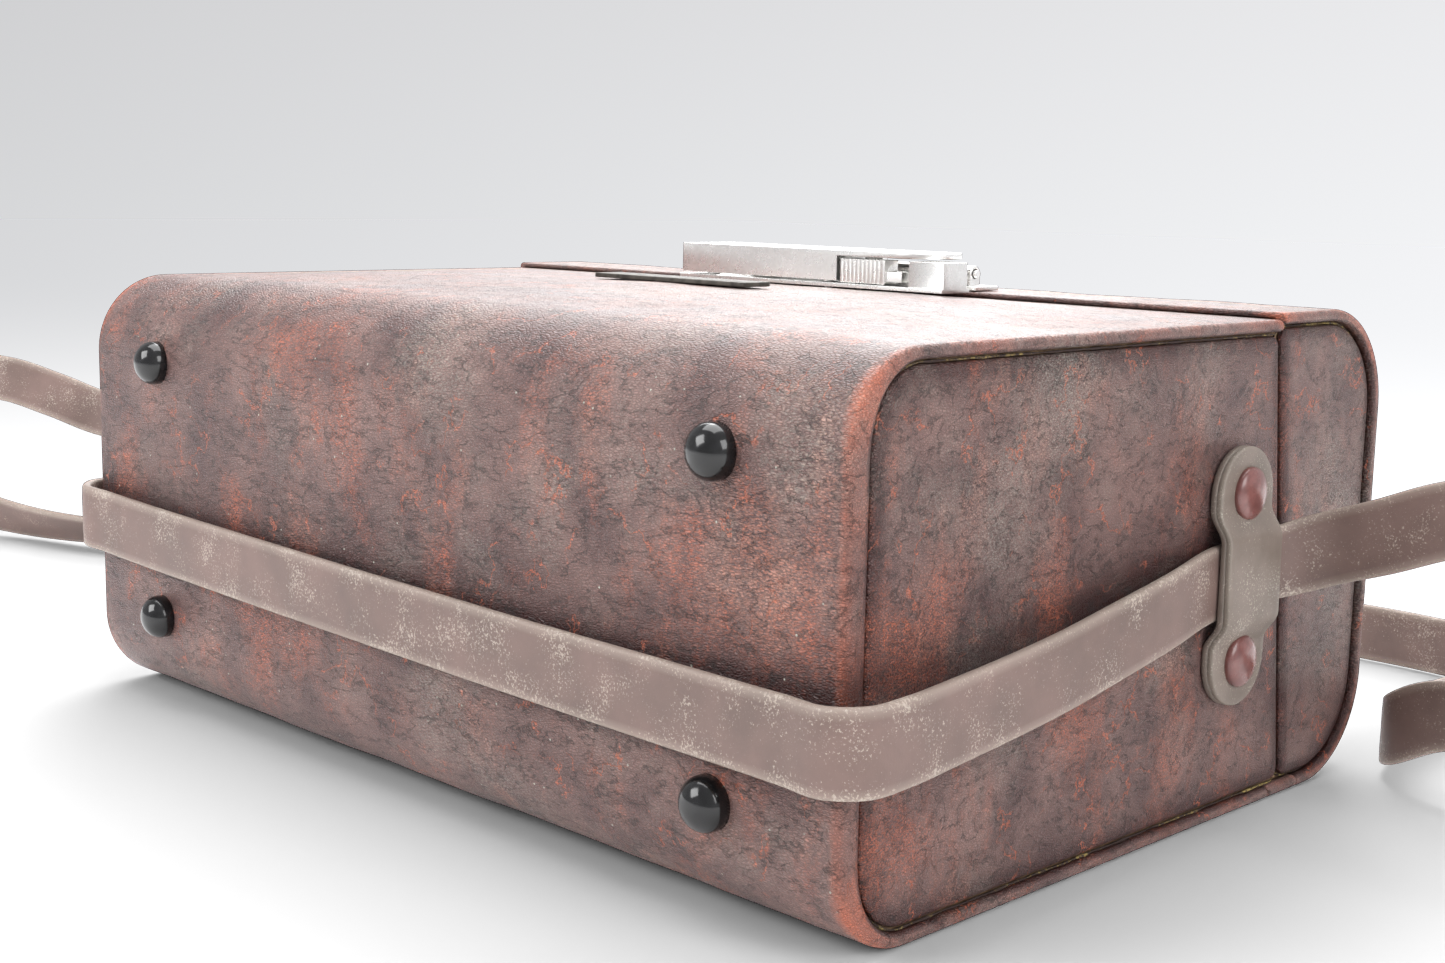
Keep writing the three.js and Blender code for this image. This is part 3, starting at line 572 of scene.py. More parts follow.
black_enamel = hard_material("stoved_black_enamel", "#0b0b0c", "#1b1b1d", 0.0, 0.09, 2.0, 0.012)
rivet_lacquer = hard_material("red_brown_rivet_lacquer", "#704642", "#5a3330", 0.0, 0.24, 2.0, 0.02,
                              0.25)
nickel_plate = hard_material("polished_nickel_plate", "#fbfaf8", "#ecebe8", 1.0, 0.24, 1.2, 0.015)
dull_zinc = hard_material("dull_zinc", "#8d8a82", "#5f5b53", 1.0, 0.38, 1.0, 0.03)
badge_metal = hard_material("tarnished_brass_badge", "#57524c", "#2a2623", 0.3, 0.55, 0.9, 0.12)
print("hard finishes ready")

# %% [markdown]
# ## Feet
#
# Four domed feet, 12.7 mm across and 6.5 mm high. The dome is a little flatter than half a ball,
# and stands on a short skirt that presses into the leather.

# %% Feet
FOOT_RADIUS = 6.35
FOOT_HEIGHT = 6.5
FOOT_X = 117.7
FOOT_SPOTS = {"back": 27.5, "front": 104.0}
foot_profile = dome_profile(FOOT_RADIUS, FOOT_HEIGHT, 1.3, -0.6, 20)
for side, x in (("left", -FOOT_X), ("right", FOOT_X)):
    for row, z in FOOT_SPOTS.items():
        foot = spun_piece(f"foot_dome_{row}_{side}", foot_profile, (x, 0.0, z), "-y", black_enamel,
                          "case")
        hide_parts(f"foot_{row}_{side}")
print("4 feet of", len(foot.data.vertices), "points")


# %% [markdown]
# ## Where the leather is rubbed, bleached and hazy, and where sheen and shade are painted on it
#
# Wear isn't even: some places of the bottom and the right end are rubbed to the tan, and some carry a
# grey film, partly wax bloom and partly painted sheen. Beside the strap the dye is still dark, and
# painted shade darkens it further. Each place is a soft spot, a bell curve round a centre, and the sum
# of them becomes a vertex attribute of the leather pieces.

# %% Wear
# Each spot is x, y, z and size, in case millimetres.
RUBBED_SPOTS = [
    (135, 0, 72, 20), (110, 0, 80, 13), (146, 0, 30, 16), (-20, 0, 94, 14), (-55, 0, 112, 12),
    (-72, 0, 69, 14), (-136, 0, 70, 14), (-60, 0, 32, 18), (-96, 0, 22, 14), (148, 0, 90, 12),
    (154, 25, 68, 15), (154, 84, 34, 12), (154, 22, 20, 15), (154, 70, 70, 14), (154, 125, 20, 12),
    (-154, 60, 40, 18), (-154, 110, 90, 16), (60, 200, 0, 20),
]
# Where the grey film is thick: partly wax bloom, partly painted sheen.
HAZE_AND_SHEEN_SPOTS = [
    (60, 0, 86, 13), (20, 0, 122, 18), (154, 50, 92, 15), (154, 118, 55, 12), (154, 70, 112, 18),
    (154, 205, 70, 30), (40, 110, 128, 40), (-154, 120, 40, 20),
]


def spots(points, places):
    """Sum over the spots of exp(-(distance / size) squared), capped at 1."""
    total = 0.0
    for x, y, z, size in places:
        total = total + np.exp(-(((points - (x, y, z)) / size) ** 2).sum(-1))
    return np.clip(total, 0, 1)


# Painted shade: the dark red beside the strap is partly unfaded dye and partly the strap's shade painted
# on.
def beside_strap(points):
    """1 under the strap. It falls to 1/e in 11 mm above the strap, and from 0.6 in 3 mm below it."""
    x, y, z = points[..., 0], points[..., 1], points[..., 2]
    rx, ry, rz = STRAP_ROUTE[:, 0], STRAP_ROUTE[:, 1], STRAP_ROUTE[:, 2]
    under = (np.abs(rx) < 150) & (ry < 0)
    ends = (np.abs(rx) > 155) & (np.abs(rx) < 162.5) & (ry > 0) & (ry < 165) & (rz > 45)
    right, left = ends & (rx > 0), ends & (rx < 0)
    at_bottom = np.interp(x, rx[under][::-1], rz[under][::-1])
    at_end = np.where(x > 0, np.interp(y, ry[right][::-1], rz[right][::-1]),
                      np.interp(y, ry[left], rz[left]))
    above = z - np.where(np.abs(x) < 150, at_bottom, at_end) - STRAP_WIDTH / 2
    below = -above - STRAP_WIDTH
    fall = np.where(above > 0, np.exp(-np.clip(above, 0, None) / 11.0), 1.0)
    fall = np.where(below > 0, 0.6 * np.exp(-np.clip(below, 0, None) / 3.0), fall)
    return fall * np.where((y < 12) | (np.abs(x) > 150), 1.0, 0.0) * smooth_step(172.0, 160.0, y)


def wear(points, worn):
    """The four attributes of a leather piece."""
    return {"worn": worn, "tan": spots(points, RUBBED_SPOTS), "haze_and_sheen": spots(points, HAZE_AND_SHEEN_SPOTS),
            "dark_dye_and_shade": beside_strap(points)}


print(len(RUBBED_SPOTS), "rubbed spots and", len(HAZE_AND_SHEEN_SPOTS), "dusty ones")

# %% [markdown]
# ## The leather covering
#
# The leather goes round the box in one strip: up the back, round the bottom and up the front, and a
# second strip does the same for the lid. At each end the strip is rolled over a cord into a
# rim, and at the parting line it is turned in. So the surface has two parameters: s, the way
# round the box, and a closed profile that goes across the outside, round one rim, back across the
# inside and round the other.


# %% Way round the box
def round_path(corners, radii, arc_step=1.6, line_step=4.0):
    """A path through corners with its corners rounded. Returns points, outward normals (to the left
    of travel) and 1 on the arcs, 0 on the straights."""
    corners = np.asarray(corners, float)
    points, normals, bends = [], [], []
    leave = corners[0]
    for i in range(1, len(corners)):
        direction = (corners[i] - corners[i - 1]) / np.linalg.norm(corners[i] - corners[i - 1])
        out = np.array([-direction[1], direction[0]])
        radius = radii[i] if i < len(corners) - 1 else 0.0
        reach = 0.0
        if radius:
            ahead = (corners[i + 1] - corners[i]) / np.linalg.norm(corners[i + 1] - corners[i])
            swing = math.acos(np.clip(direction @ ahead, -1, 1))
            reach = radius * math.tan(swing / 2)
        arrive = corners[i] - direction * reach
        count = max(2, int(np.ceil(np.linalg.norm(arrive - leave) / line_step)))
        t = np.linspace(0, 1, count, endpoint=False)[:, None]
        points.append(leave + (arrive - leave) * t)
        normals.append(np.tile(out, (count, 1)))
        bends.append(np.zeros(count))
        if not radius:
            continue
        hub = arrive - out * radius
        count = max(4, int(np.ceil(radius * swing / arc_step)))
        t = np.linspace(0, swing, count, endpoint=False)
        ring = np.cos(t)[:, None] * out + np.sin(t)[:, None] * direction
        points.append(hub + ring * radius)
        normals.append(ring)
        bends.append(np.sin(t / swing * math.pi))
        leave = corners[i] + ahead * reach
    points.append(corners[-1:])
    normals.append(out[None])
    bends.append([0.0])
    return np.vstack(points), np.vstack(normals), np.concatenate(bends)


def wrap_profile(across=72, bead=9):
    """Closed profile across the case as (x, depth, normal x, normal depth). The outer half runs from
    the left rim's foot over its bead, across the panel and over the right bead; the inner half comes
    back the same way, point for point."""
    radius = RIM_THICK / 2
    t = np.linspace(-math.pi / 2, math.pi / 2, bead)
    right = np.c_[HALF - radius + radius * np.cos(t), radius + radius * np.sin(t), np.cos(t), np.sin(t)]
    x = np.linspace(-(HALF - radius), HALF - radius, across)[1:-1]
    flat = np.c_[x, 0 * x, 0 * x, -1 + 0 * x]
    lip = [[HALF - RIM_LENGTH, RIM_THICK, 0.0, 1.0]]
    half = np.vstack([right, lip])
    left = half[::-1] * (-1, 1, -1, 1)
    outer = np.vstack([left, flat, half])
    edge = HALF - RIM_LENGTH
    # The inner half follows the outer one point for point, a leather's thickness below it.
    inner_x = np.clip(outer[:, 0], -edge, edge)
    rim_end = np.abs(outer[:, 0]) > edge - 1e-6
    packed = np.where(rim_end, np.clip(RIM_THICK - 0.15, LEATHER, None), LEATHER)
    rank = np.arange(len(outer))
    n = len(half)
    fade = np.clip(np.minimum(rank, len(outer) - 1 - rank) / n, 0, 1)
    depth = np.where(rim_end, packed * (1 - fade) + LEATHER * fade, LEATHER)
    inner = np.c_[inner_x, depth, 0 * rank, 1.0 + 0 * rank]
    return outer, inner[::-1]


CROWN = 3.3             # the front panel bulges this far
CROWN_Y = 88.0
CROWN_REACH = 80.0


def swell(x, y, z):
    """Crown of the front panel: a dome that dies away at its edges, in x and in y, and ramps in over
    the bottom corner."""
    across = np.clip(1 - (x / HALF) ** 2, 0, None)
    up = np.clip(1 - ((y - CROWN_Y) / CROWN_REACH) ** 2, 0, None)
    return CROWN * across * up * np.clip((z - (DEPTH - BOTTOM_RADIUS)) / (BOTTOM_RADIUS - 6), 0, 1)


def ripple(x, y, z):
    """Slow hollows and swells of leather on board, a few tenths of a millimetre: a sum of sines in
    odd directions."""
    return (0.16 * np.sin(x / 19.0 + y / 31.0 + 1.0) * np.sin(z / 23.0 + x / 47.0)
            + 0.10 * np.sin(x / 9.5 - z / 12.0 + 0.5) * np.sin(y / 14.0 + z / 17.0)
            + 0.05 * np.sin(x / 4.7 + z / 6.1 + y / 5.3))


def wrap_quads(rows, half):
    """Quads of a strip whose section has half its points outside and half inside, with both ends
    closed by quads between the two."""
    j = np.arange(half - 1)
    k = 2 * half - 1 - j
    near = np.stack([j + 1, j, k, k - 1], -1)
    far = near[:, [1, 0, 3, 2]] + (rows - 1) * 2 * half
    return np.vstack([grid_quads(rows, 2 * half, around=True), near, far])


def covering(name, corners, radii, body, crown):
    """Point = path(s) - outward normal * depth, at x. At the two ends of the path the profile shrinks
    along its own normals by r (1 - cos a) while s goes on by r sin a: a rounded turned edge."""
    path, outward, bends = round_path(corners, radii)
    outer, inner = wrap_profile()
    profile = np.vstack([outer, inner])
    r = LEATHER / 2
    angles = np.radians([0, 25, 50, 75, 90])
    rows = []
    first = path[0] - path[1]
    last = path[-1] - path[-2]
    first, last = first / np.linalg.norm(first), last / np.linalg.norm(last)
    for a in angles[::-1]:
        rows.append((path[0] - first * (r - r * math.sin(a)), outward[0], r * (1 - math.cos(a)), 0.0))
    for p, n, b in zip(path[1:-1], outward[1:-1], bends[1:-1]):
        rows.append((p, n, 0.0, b))
    for a in angles:
        rows.append((path[-1] - last * (r - r * math.sin(a)), outward[-1], r * (1 - math.cos(a)), 0.0))
    place, normal, pull, bend = (np.array(column) for column in zip(*rows))
    pull, bend = pull[:, None], bend[:, None]
    x = profile[None, :, 0] - profile[None, :, 2] * pull
    depth = profile[None, :, 1] - profile[None, :, 3] * pull
    in_rim = np.where(np.abs(profile[:, 0]) > HALF - RIM_LENGTH - 1e-6, profile[:, 1] / RIM_THICK, 0.0)
    depth = depth + in_rim[None, :] * BOTTOM_RIM * np.clip(-normal[:, :1], 0, None) ** 2
    y = place[:, :1] - normal[:, :1] * depth
    z = place[:, 1:] - normal[:, 1:] * depth
    # Towards the parting line the path leans over to its slant, whatever the depth.
    slide = smooth_step(60.0, 166.0, place[:, :1])
    if crown:
        z = z + swell(x, y, z)
    y = y + slide * (parting_y(z) - parting_y(place[:, 1:]))
    # No ripples on the rims, on the inside or at the parting line.
    calm = 1 - smooth_step(HALF - 12.0, HALF, np.abs(x))
    calm = calm * (1 - smooth_step(0.0, LEATHER, depth))
    calm = calm * smooth_step(0.0, 10.0, np.abs(y - parting_y(z)))
    wave = ripple(x, y, z) * calm
    y, z = y + normal[:, :1] * wave, z + normal[:, 1:] * wave
    points = np.stack([x + 0 * y, y, z], -1)
    rim = np.exp(-((np.abs(points[..., 0]) - (HALF - 1.0)) / 1.9) ** 2) * (0.62 + 0.38 * bend)
    line = np.exp(-np.abs(y - parting_y(z)) / 1.1) * 0.55
    soft = 0.20 * bend * smooth_step(0.0, 1.0, bend)
    torn = np.exp(-(((points - (153.5, 167.5, 129.0)) / (5.0, 3.0, 4.0)) ** 2).sum(-1))
    # The inner foot of the rim is never rubbed, and painted shade darkens it beside the groove.
    lip = smooth_step(0.70, 0.95, in_rim)[None, :] + 0 * y
    worn = np.clip((np.maximum(np.maximum(rim, line), soft) + torn) * (1 - 0.85 * lip), 0, 1)
    values = wear(points, worn)
    values["dark_dye_and_shade"] = np.maximum(values["dark_dye_and_shade"], 0.9 * lip)
    quads = wrap_quads(len(rows), len(outer))
    return new_piece(name, points, case_leather, body, values, quads=quads)


HINGE_LOW = 173.6       # the hinge strip fills the back from here
HINGE_HIGH = 189.1      # to here
body_corners = [(HINGE_LOW, 0.0), (0.0, 0.0), (0.0, DEPTH), (parting_y(DEPTH) - PART_GAP, DEPTH)]
body_cover = covering("body_covering", body_corners, [0, BOTTOM_RADIUS, BOTTOM_RADIUS, 0], "case", True)
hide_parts("body_wrap")
print("body covering:", len(body_cover.data.vertices), "points")

# %% [markdown]
# The lid's strip runs the other way: from the parting line up the front, over the top, and down to
# the hinge. It stands 1.8 mm further out at the front, which gives the finger something to lift.

# %% Lid covering
LID_DEPTH = DEPTH + LIP_PROUD
lid_corners = [(parting_y(LID_DEPTH) + PART_GAP, LID_DEPTH), (HEIGHT, LID_DEPTH), (HEIGHT, 0.0),
               (HINGE_HIGH, 0.0)]
lid_cover = covering("lid_covering", lid_corners, [0, LID_RADIUS, LID_RADIUS, 0], "lid", False)
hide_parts("lid_wrap")
print("lid covering:", len(lid_cover.data.vertices), "points")

# %% [markdown]
# ## The leather hinge
#
# A strip of the same leather, glued across the parting line on the back panel, is the hinge. Here it is
# one strip, attached to neither the case nor the lid.

# %% Leather hinge
HINGE_ROWS = 25
hinge_rows = np.linspace(HINGE_LOW + 0.2, HINGE_HIGH - 0.2, HINGE_ROWS)
outer, inner = wrap_profile(40, 7)
hinge_ring = np.vstack([outer, inner])
taper = np.minimum(hinge_rows - hinge_rows[0], hinge_rows[-1] - hinge_rows)
hinge_pull = (LEATHER / 2) * np.clip(1 - taper / 0.7, 0, 1)[:, None] ** 2
hinge_x = hinge_ring[None, :, 0] - hinge_ring[None, :, 2] * hinge_pull
hinge_z = hinge_ring[None, :, 1] - hinge_ring[None, :, 3] * hinge_pull
hinge_points = np.stack([hinge_x, np.repeat(hinge_rows[::-1, None], len(hinge_ring), 1), hinge_z], -1)
hinge_worn = np.clip(np.exp(-((np.abs(hinge_points[..., 0]) - 154.0) / 1.9) ** 2) * 0.62, 0, 1)
hinge = new_piece("hinge_strip", hinge_points, case_leather, values=wear(hinge_points, hinge_worn),
                  quads=wrap_quads(HINGE_ROWS, len(outer)))
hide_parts("hinge_leather")
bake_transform(hinge)
print("hinge strip:", len(hinge.data.vertices), "points")

# %% [markdown]
# ## End panels
#
# Each end of the box is a board covered with its own piece of leather, turned in round its edge,
# and set 1 mm below the rim with a groove round it. Its surface is worked out in rings: a
# ring at the rounded outline, smaller copies of it towards a line in the middle, and further rings
# over the rounded edge, down the side and under the board.


# %% Ringed plates
def plate(outline, outward, core_low, core_high, rings):
    """Rows of (share, inset, height): point = core + (outline - outward * inset - core) * share,
    where the core is the outline squeezed into a box. Returns (rows, points, 3): y, z and height."""
    core = np.clip(outline, core_low, core_high)
    rings = np.asarray(rings, float)
    share, inset, height = rings[:, 0, None, None], rings[:, 1, None, None], rings[:, 2, None]
    flat = core + (outline - outward * inset - core) * share
    return np.dstack([flat, np.repeat(height, len(outline), 1)])


def end_rings(thick, rounding, drop, steps):
    """Rings of a board: face, an edge that is a quarter of an ellipse, side and underside."""
    face = [(s, rounding, 0.0) for s in np.linspace(0, 1, steps)]
    edge = [(1, rounding * (1 - math.sin(t)), -drop * (1 - math.cos(t)))
            for t in np.radians([15, 30, 45, 60, 75, 90])]
    return face + edge + [(1, 0, -thick + 0.3), (1, 0.3, -thick), (0, 0.3, -thick)]


def loop(corners, radii, line_step=3.0, arc_step=1.4):
    """round_path for a closed outline: it starts and ends half way along its last side."""
    middle = (np.asarray(corners[-1], float) + np.asarray(corners[0], float)) / 2
    outline, outward, _ = round_path([middle, *corners, middle], [0, *radii, 0], arc_step, line_step)
    return outline[:-1], outward[:-1]


def end_loop(which, line_step=3.0, arc_step=1.4):
    """The outline of an end panel, moved in where the bottom rim is thicker."""
    corners, radii = end_outline(which)
    outline, outward = loop(corners, radii, line_step, arc_step)
    thicker = np.clip(-outward[:, :1], 0, None) ** 2 * (outline[:, :1] < 60)
    return outline - outward * BOTTOM_RIM * thicker, outward


PANEL_INSET = RIM_THICK + GROOVE
END_EDGE = 0.85         # from the parting line to the end panels
END_CORNER = 2.7        # their corners at the parting line
FACE_RINGS = 26


def end_outline(which):
    """Corners and radii of an end panel's outline, in (y, z)."""
    i = PANEL_INSET
    if which == "body":
        return ([(i, i), (i, DEPTH - i), (parting_y(DEPTH - i) - END_EDGE, DEPTH - i),
                 (parting_y(i) - END_EDGE, i)],
                [BOTTOM_RADIUS - i, BOTTOM_RADIUS - i, END_CORNER, END_CORNER])
    top = LID_DEPTH - i
    return ([(HEIGHT - i, top), (HEIGHT - i, i), (parting_y(i) + END_EDGE, i),
             (parting_y(top) + END_EDGE, top)],
            [LID_RADIUS - i, LID_RADIUS - i, END_CORNER, END_CORNER])


def end_panel(which, side):
    """An end panel of body or lid on the right (side 1) or the left (side -1)."""
    outline, outward = end_loop(which)
    low = (60.0, MID_Z) if which == "body" else (201.0, 30.0)
    high = (118.0, MID_Z) if which == "body" else (201.0, 98.0)
    rings = end_rings(2.2, 2.4, 1.0, FACE_RINGS)
    grid = plate(outline, outward, low, high, rings)
    y, z, h = grid[..., 0], grid[..., 1], grid[..., 2]
    share = np.array([r[0] for r in rings])[:, None]
    on_face = (np.arange(len(rings)) < FACE_RINGS)[:, None]
    calm = (1 - share**6) * on_face
    x = PANEL_X + h + ripple(y * 1.3, z * 0.9, 31.0 * side) * calm - 0.12
    points = np.stack([side * x, y, z], -1)
    edge = np.exp(-((np.arange(len(rings)) - FACE_RINGS - 2.5) / 1.2) ** 2)[:, None] * 0.30
    line = np.exp(-np.abs(y - parting_y(z)) / 1.6) * 0.30
    worn = np.clip(np.maximum(edge + 0 * y, line), 0, 1)
    hand = "right" if side > 0 else "left"
    # A dark strip a few millimetres wide follows the groove: painted shade.
    values = wear(points, worn)
    values["dark_dye_and_shade"] = np.maximum(values["dark_dye_and_shade"], 0.85 * np.exp(-(1 - share) * 50.0 / 2.2) + 0 * y)
    body = "case" if which == "body" else "lid"
    piece = new_piece(f"{which}_end_panel_{hand}", points, case_leather, body, values, flip=side < 0)
    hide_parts(f"{which}_end_{hand}")
    return piece


for which in ("body", "lid"):
    for side in (1, -1):
        panel = end_panel(which, side)
        print(panel.name, len(panel.data.vertices), "points")

# %% [markdown]
# ## Fibre in the groove
#
# Where the panel's leather was trimmed, jute backing and old glue show in the groove as an uneven
# olive-brown thread. It is a thin tube along the groove whose size and height wander.

# %% Groove fibre material
jute, add = new_material("frayed_jute_backing")
place = add("TexCoord").outputs["Object"]
tufts = add("TexNoise", {"Vector": place, "Scale": per_mm(1.6), "Detail": 4.0, "Roughness": 0.7})
runs = add("TexNoise", {"Vector": place, "Scale": per_mm(24.0), "Detail": 2.0})
lean = add("Math", {0: runs, 1: 0.9, 2: tufts}, operation="MULTIPLY_ADD")
share = add("MapRange", {0: lean, 1: 0.98, 2: 1.14})
colour = add("Mix", {0: share, 6: linear("#2a1a16"), 7: linear("#94814c")}, data_type="RGBA").outputs[2]
bump = add("Bump", {"Strength": 0.8, "Distance": 0.2 * MM, "Height": tufts})
shader = add("BsdfPrincipled", {"Base Color": colour, "Roughness": 0.9, "Normal": bump})
add("OutputMaterial", {0: shader})
print(jute.name)


# %% Groove fibre
def groove_fibre(which, side):
    """Tube along the middle of the groove: centre = outline moved out by half the groove, radius
    0.25 mm with sines added, about 0.75 mm below the panel's face and deeper where it is hidden."""
    outline, outward = end_loop(which, 1.2, 1.0)
    s = np.arange(len(outline))
    size = 0.25 + 0.07 * np.sin(s * 0.9) + 0.08 * np.sin(s * 0.13 + side) * np.sin(s * 0.37 + 1)
    lift = PANEL_X - 0.75 + 0.12 * np.sin(s * 0.23) + 0.1 * np.sin(s * 0.61 + 2)
    near_line = smooth_step(1.0, 2.5, np.abs(outline[:, 0] - parting_y(outline[:, 1])))
    # It shows along the front and the back of the body, and hardly anywhere else.
    hidden = smooth_step(0.2, 0.7, np.abs(outward[:, 0])) if which == "body" else 1.0
    lift = lift - 1.2 * (1 - near_line) - 0.9 * hidden
    t = np.arange(8) * math.pi / 4
    across = size[:, None] * np.cos(t)
    flat = (outline + outward * GROOVE * 0.5)[:, None] + outward[:, None] * across[..., None]
    x = side * (lift[:, None] + size[:, None] * np.sin(t))
    points = np.dstack([x, flat])
    points = np.vstack([points, points[:1]])
    hand = "right" if side > 0 else "left"
    body = "case" if which == "body" else "lid"
    piece = new_piece(f"{which}_groove_fibre_{hand}", points, jute, body, flip=side > 0)
    return piece


for which in ("body", "lid"):
    for side in (1, -1):
        fibre = groove_fibre(which, side)
print("groove fibre:", len(fibre.data.vertices), "points each")

# %% [markdown]
# ## Keepers
#
# A keeper is a tab of two leathers glued back to back, with round ends, held by a rivet near
# each end, and humped over the strap in between. It is a ringed plate again: the hump is a
# smooth step added to its height, and a notch half way down its edge is the line between the
# two leathers.

# %% Keepers
KEEPER_Y = 148.5
KEEPER_LENGTH = 66.5
KEEPER_WIDTH = 24.5
KEEPER_THICK = 3.5
RIVET_SPACING = 43.0
keeper_rings = ([(s, 0.6, KEEPER_THICK) for s in np.linspace(0, 1, 9)]
                + [(1, 0.6 * (1 - math.sin(t)), KEEPER_THICK - 0.6 * (1 - math.cos(t)))
                   for t in np.radians([30, 60, 90])]
                + [(1, 0, 2.1), (1, 0.12, 1.85), (1, 0.42, 1.75), (1, 0.12, 1.65), (1, 0, 1.4)]
                + [(1, 0, 0.5)]
                + [(1, 0.3, 0.05), (1, 0.6, 0), (0, 0.6, 0)])
reach = KEEPER_LENGTH / 2
half_width = KEEPER_WIDTH / 2
keeper_outline, keeper_outward = loop(
    [(KEEPER_Y - half_width, MID_Z + reach), (KEEPER_Y + half_width, MID_Z + reach),
     (KEEPER_Y + half_width, MID_Z - reach), (KEEPER_Y - half_width, MID_Z - reach)],
    [half_width - 0.01] * 4, 1.2, 1.0)
spine = reach - half_width
for side, hand in ((1, "right"), (-1, "left")):
    grid = plate(keeper_outline, keeper_outward, (KEEPER_Y, MID_Z - spine), (KEEPER_Y, MID_Z + spine),
                 keeper_rings)
    y, z, h = grid[..., 0], grid[..., 1], grid[..., 2]
    away = np.abs(z - MID_Z)
    hump = 3.6 * (1 - smooth_step(9.9, 17.6, away))
    wave = 0.18 * np.sin(z / 7.0 + side) + 0.12 * np.sin(y / 5.0 + z / 9.0)
    x = PANEL_X + 0.3 + hump + h + wave * smooth_step(0.1, 3.0, h) * smooth_step(20.0, 10.0, away)
    number = np.arange(len(keeper_rings))[:, None]
    worn = np.clip(np.exp(-((number - 11) / 2.2) ** 2) * 0.8 + np.exp(-((number - 14) / 1.2) ** 2), 0, 1)
    keeper = new_piece(f"keeper_tab_{hand}", np.stack([side * x, y, z], -1), keeper_leather, "case",
                       {"worn": worn + 0 * y}, flip=side < 0)
    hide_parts(f"strap_keeper_{hand}")
    for sign, row in ((-1, "back"), (1, "front")):
        spot = (side * (PANEL_X + 0.3 + KEEPER_THICK), KEEPER_Y, MID_Z + sign * RIVET_SPACING / 2)
        cap = spun_piece(f"keeper_rivet_cap_{row}_{hand}", dome_profile(6.7, 2.9, 0.7, -0.5, 12), spot,
                         "+x" if side > 0 else "-x", rivet_lacquer, "case")
        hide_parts(f"keeper_rivet_{hand}_{row}")
print("keepers:", len(keeper.data.vertices), "points each")

# %% [markdown]
# ## Where the strap's ends meet
#
# Behind the lid the two ends of the strap lie one on the other, held by two small rivets: a domed
# cap outside, a shank, and a flat burr inside.

# %% Strap rivets
strap_rivet = [(0, -6.4), (2.9, -6.4), (3.0, -6.2), (3.0, -5.6), (1.5, -5.5), (1.5, -0.2)]
strap_rivet += [tuple(row) for row in dome_profile(4.5, 2.0, 0.6, -0.2, 10)[2:]]
for number, x in ((1, -20.0), (2, 20.0)):
    cap = spun_piece(f"strap_rivet_{number}", strap_rivet, (x, 343.1, 10.8), "+y", rivet_lacquer,
                     "case", 32)
    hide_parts(f"strap_join_rivet_{number}")

print("strap declared, length", round(along[-1] * MM, 3), "m")

# %% [markdown]
# ## The latch and the badge
#
# The latch is cast and polished, so its pieces keep the shape that the solids have, with their
# sharp edges broken. Each is a copy of the solid with its loose triangles welded and its flat faces
# joined, and a Bevel modifier rounds the edges.

# %% Bevelled copies
import bmesh


def bevelled(node, name, width, material, body, steps=3):
    """Copy of a solid: weld, join faces in one plane, bevel every edge sharper than 30 degrees."""
    shape = bmesh.new()
    shape.from_mesh(nodes[node].data)
    bmesh.ops.remove_doubles(shape, verts=shape.verts, dist=2e-6)
    bmesh.ops.dissolve_limit(shape, angle_limit=math.radians(1.5), verts=shape.verts, edges=shape.edges)
    mesh = bpy.data.meshes.new(name)
    shape.to_mesh(mesh)
    shape.free()
    mesh.polygons.foreach_set("use_smooth", np.ones(len(mesh.polygons), bool))
    mesh.materials.clear()
    mesh.materials.append(material)
    piece = add_object(name, mesh)
    bevel = piece.modifiers.new("broken edges", "BEVEL")
    bevel.width = width * MM
    bevel.segments = steps
    bevel.limit_method = "ANGLE"
    bevel.angle_limit = math.radians(30)
    bevel.harden_normals = True
    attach(piece, body)
    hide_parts(node)
    return piece


for node, name, width, material, body, slot in (
        ("latch_base", "latch_base_plate", 0.35, nickel_plate, "case", "bright_metal"),
        ("latch_slider", "latch_slide_button", 0.25, nickel_plate, "slider", "bright_metal"),
        ("latch_lid_plate", "latch_plate_on_lid", 0.25, nickel_plate, "lid", "bright_metal"),
        ("latch_hasp", "latch_hasp_cover", 0.45, nickel_plate, "hasp", "bright_metal"),
        ("badge_plate", "badge_bar", 0.3, badge_metal, "case", "aged_metal")):
    piece = bevelled(node, name, width, material, body)
    print(name, len(piece.data.polygons), "faces before the bevel")

# %% [markdown]
# ## Finishes inside
#
# The shell is grey-brown fibreboard and the lining a brushed brown cotton. Both show when the lid
# opens. They keep the solids' shapes, and get a material with the right grain.


# %% Inside materials
def matt_material(name, light, dark, grain_mm, bump_mm, rough, weave=False):
    """A dull finish: two colours mixed by grain, which also gives the bump. A weave multiplies two
    sets of waves at right angles."""
    material, add = new_material(name)
    place = add("TexCoord").outputs["Object"]
    grain = add("TexNoise", {"Vector": place, "Scale": per_mm(grain_mm), "Detail": 5.0,
                             "Roughness": 0.7})
    if weave:
        threads = [add("TexWave", {"Vector": place, "Scale": per_mm(grain_mm) / 6.3, "Distortion": 1.0,
                                   "Detail": 1.0}, bands_direction=way).outputs["Fac"] for way in ("X",
                                                                                                   "Y",
                                                                                                   "Z")]
        cross = add("Math", {0: threads[0], 1: threads[1]}, operation="MULTIPLY")
        cross = add("Math", {0: threads[2], 1: cross}, operation="MAXIMUM")
        grain = add("Math", {0: cross, 1: 0.5, 2: grain}, operation="MULTIPLY_ADD")
    share = add("MapRange", {0: grain, 1: 0.35, 2: 0.75})
    colour = add("Mix", {0: share, 6: linear(dark), 7: linear(light)}, data_type="RGBA").outputs[2]
    bump = add("Bump", {"Strength": 0.6, "Distance": bump_mm * MM, "Height": grain})
    shader = add("BsdfPrincipled", {"Base Color": colour, "Roughness": rough,
                                    "Sheen Weight": 0.25 if weave else 0.0, "Normal": bump})
    add("OutputMaterial", {0: shader})
    return material


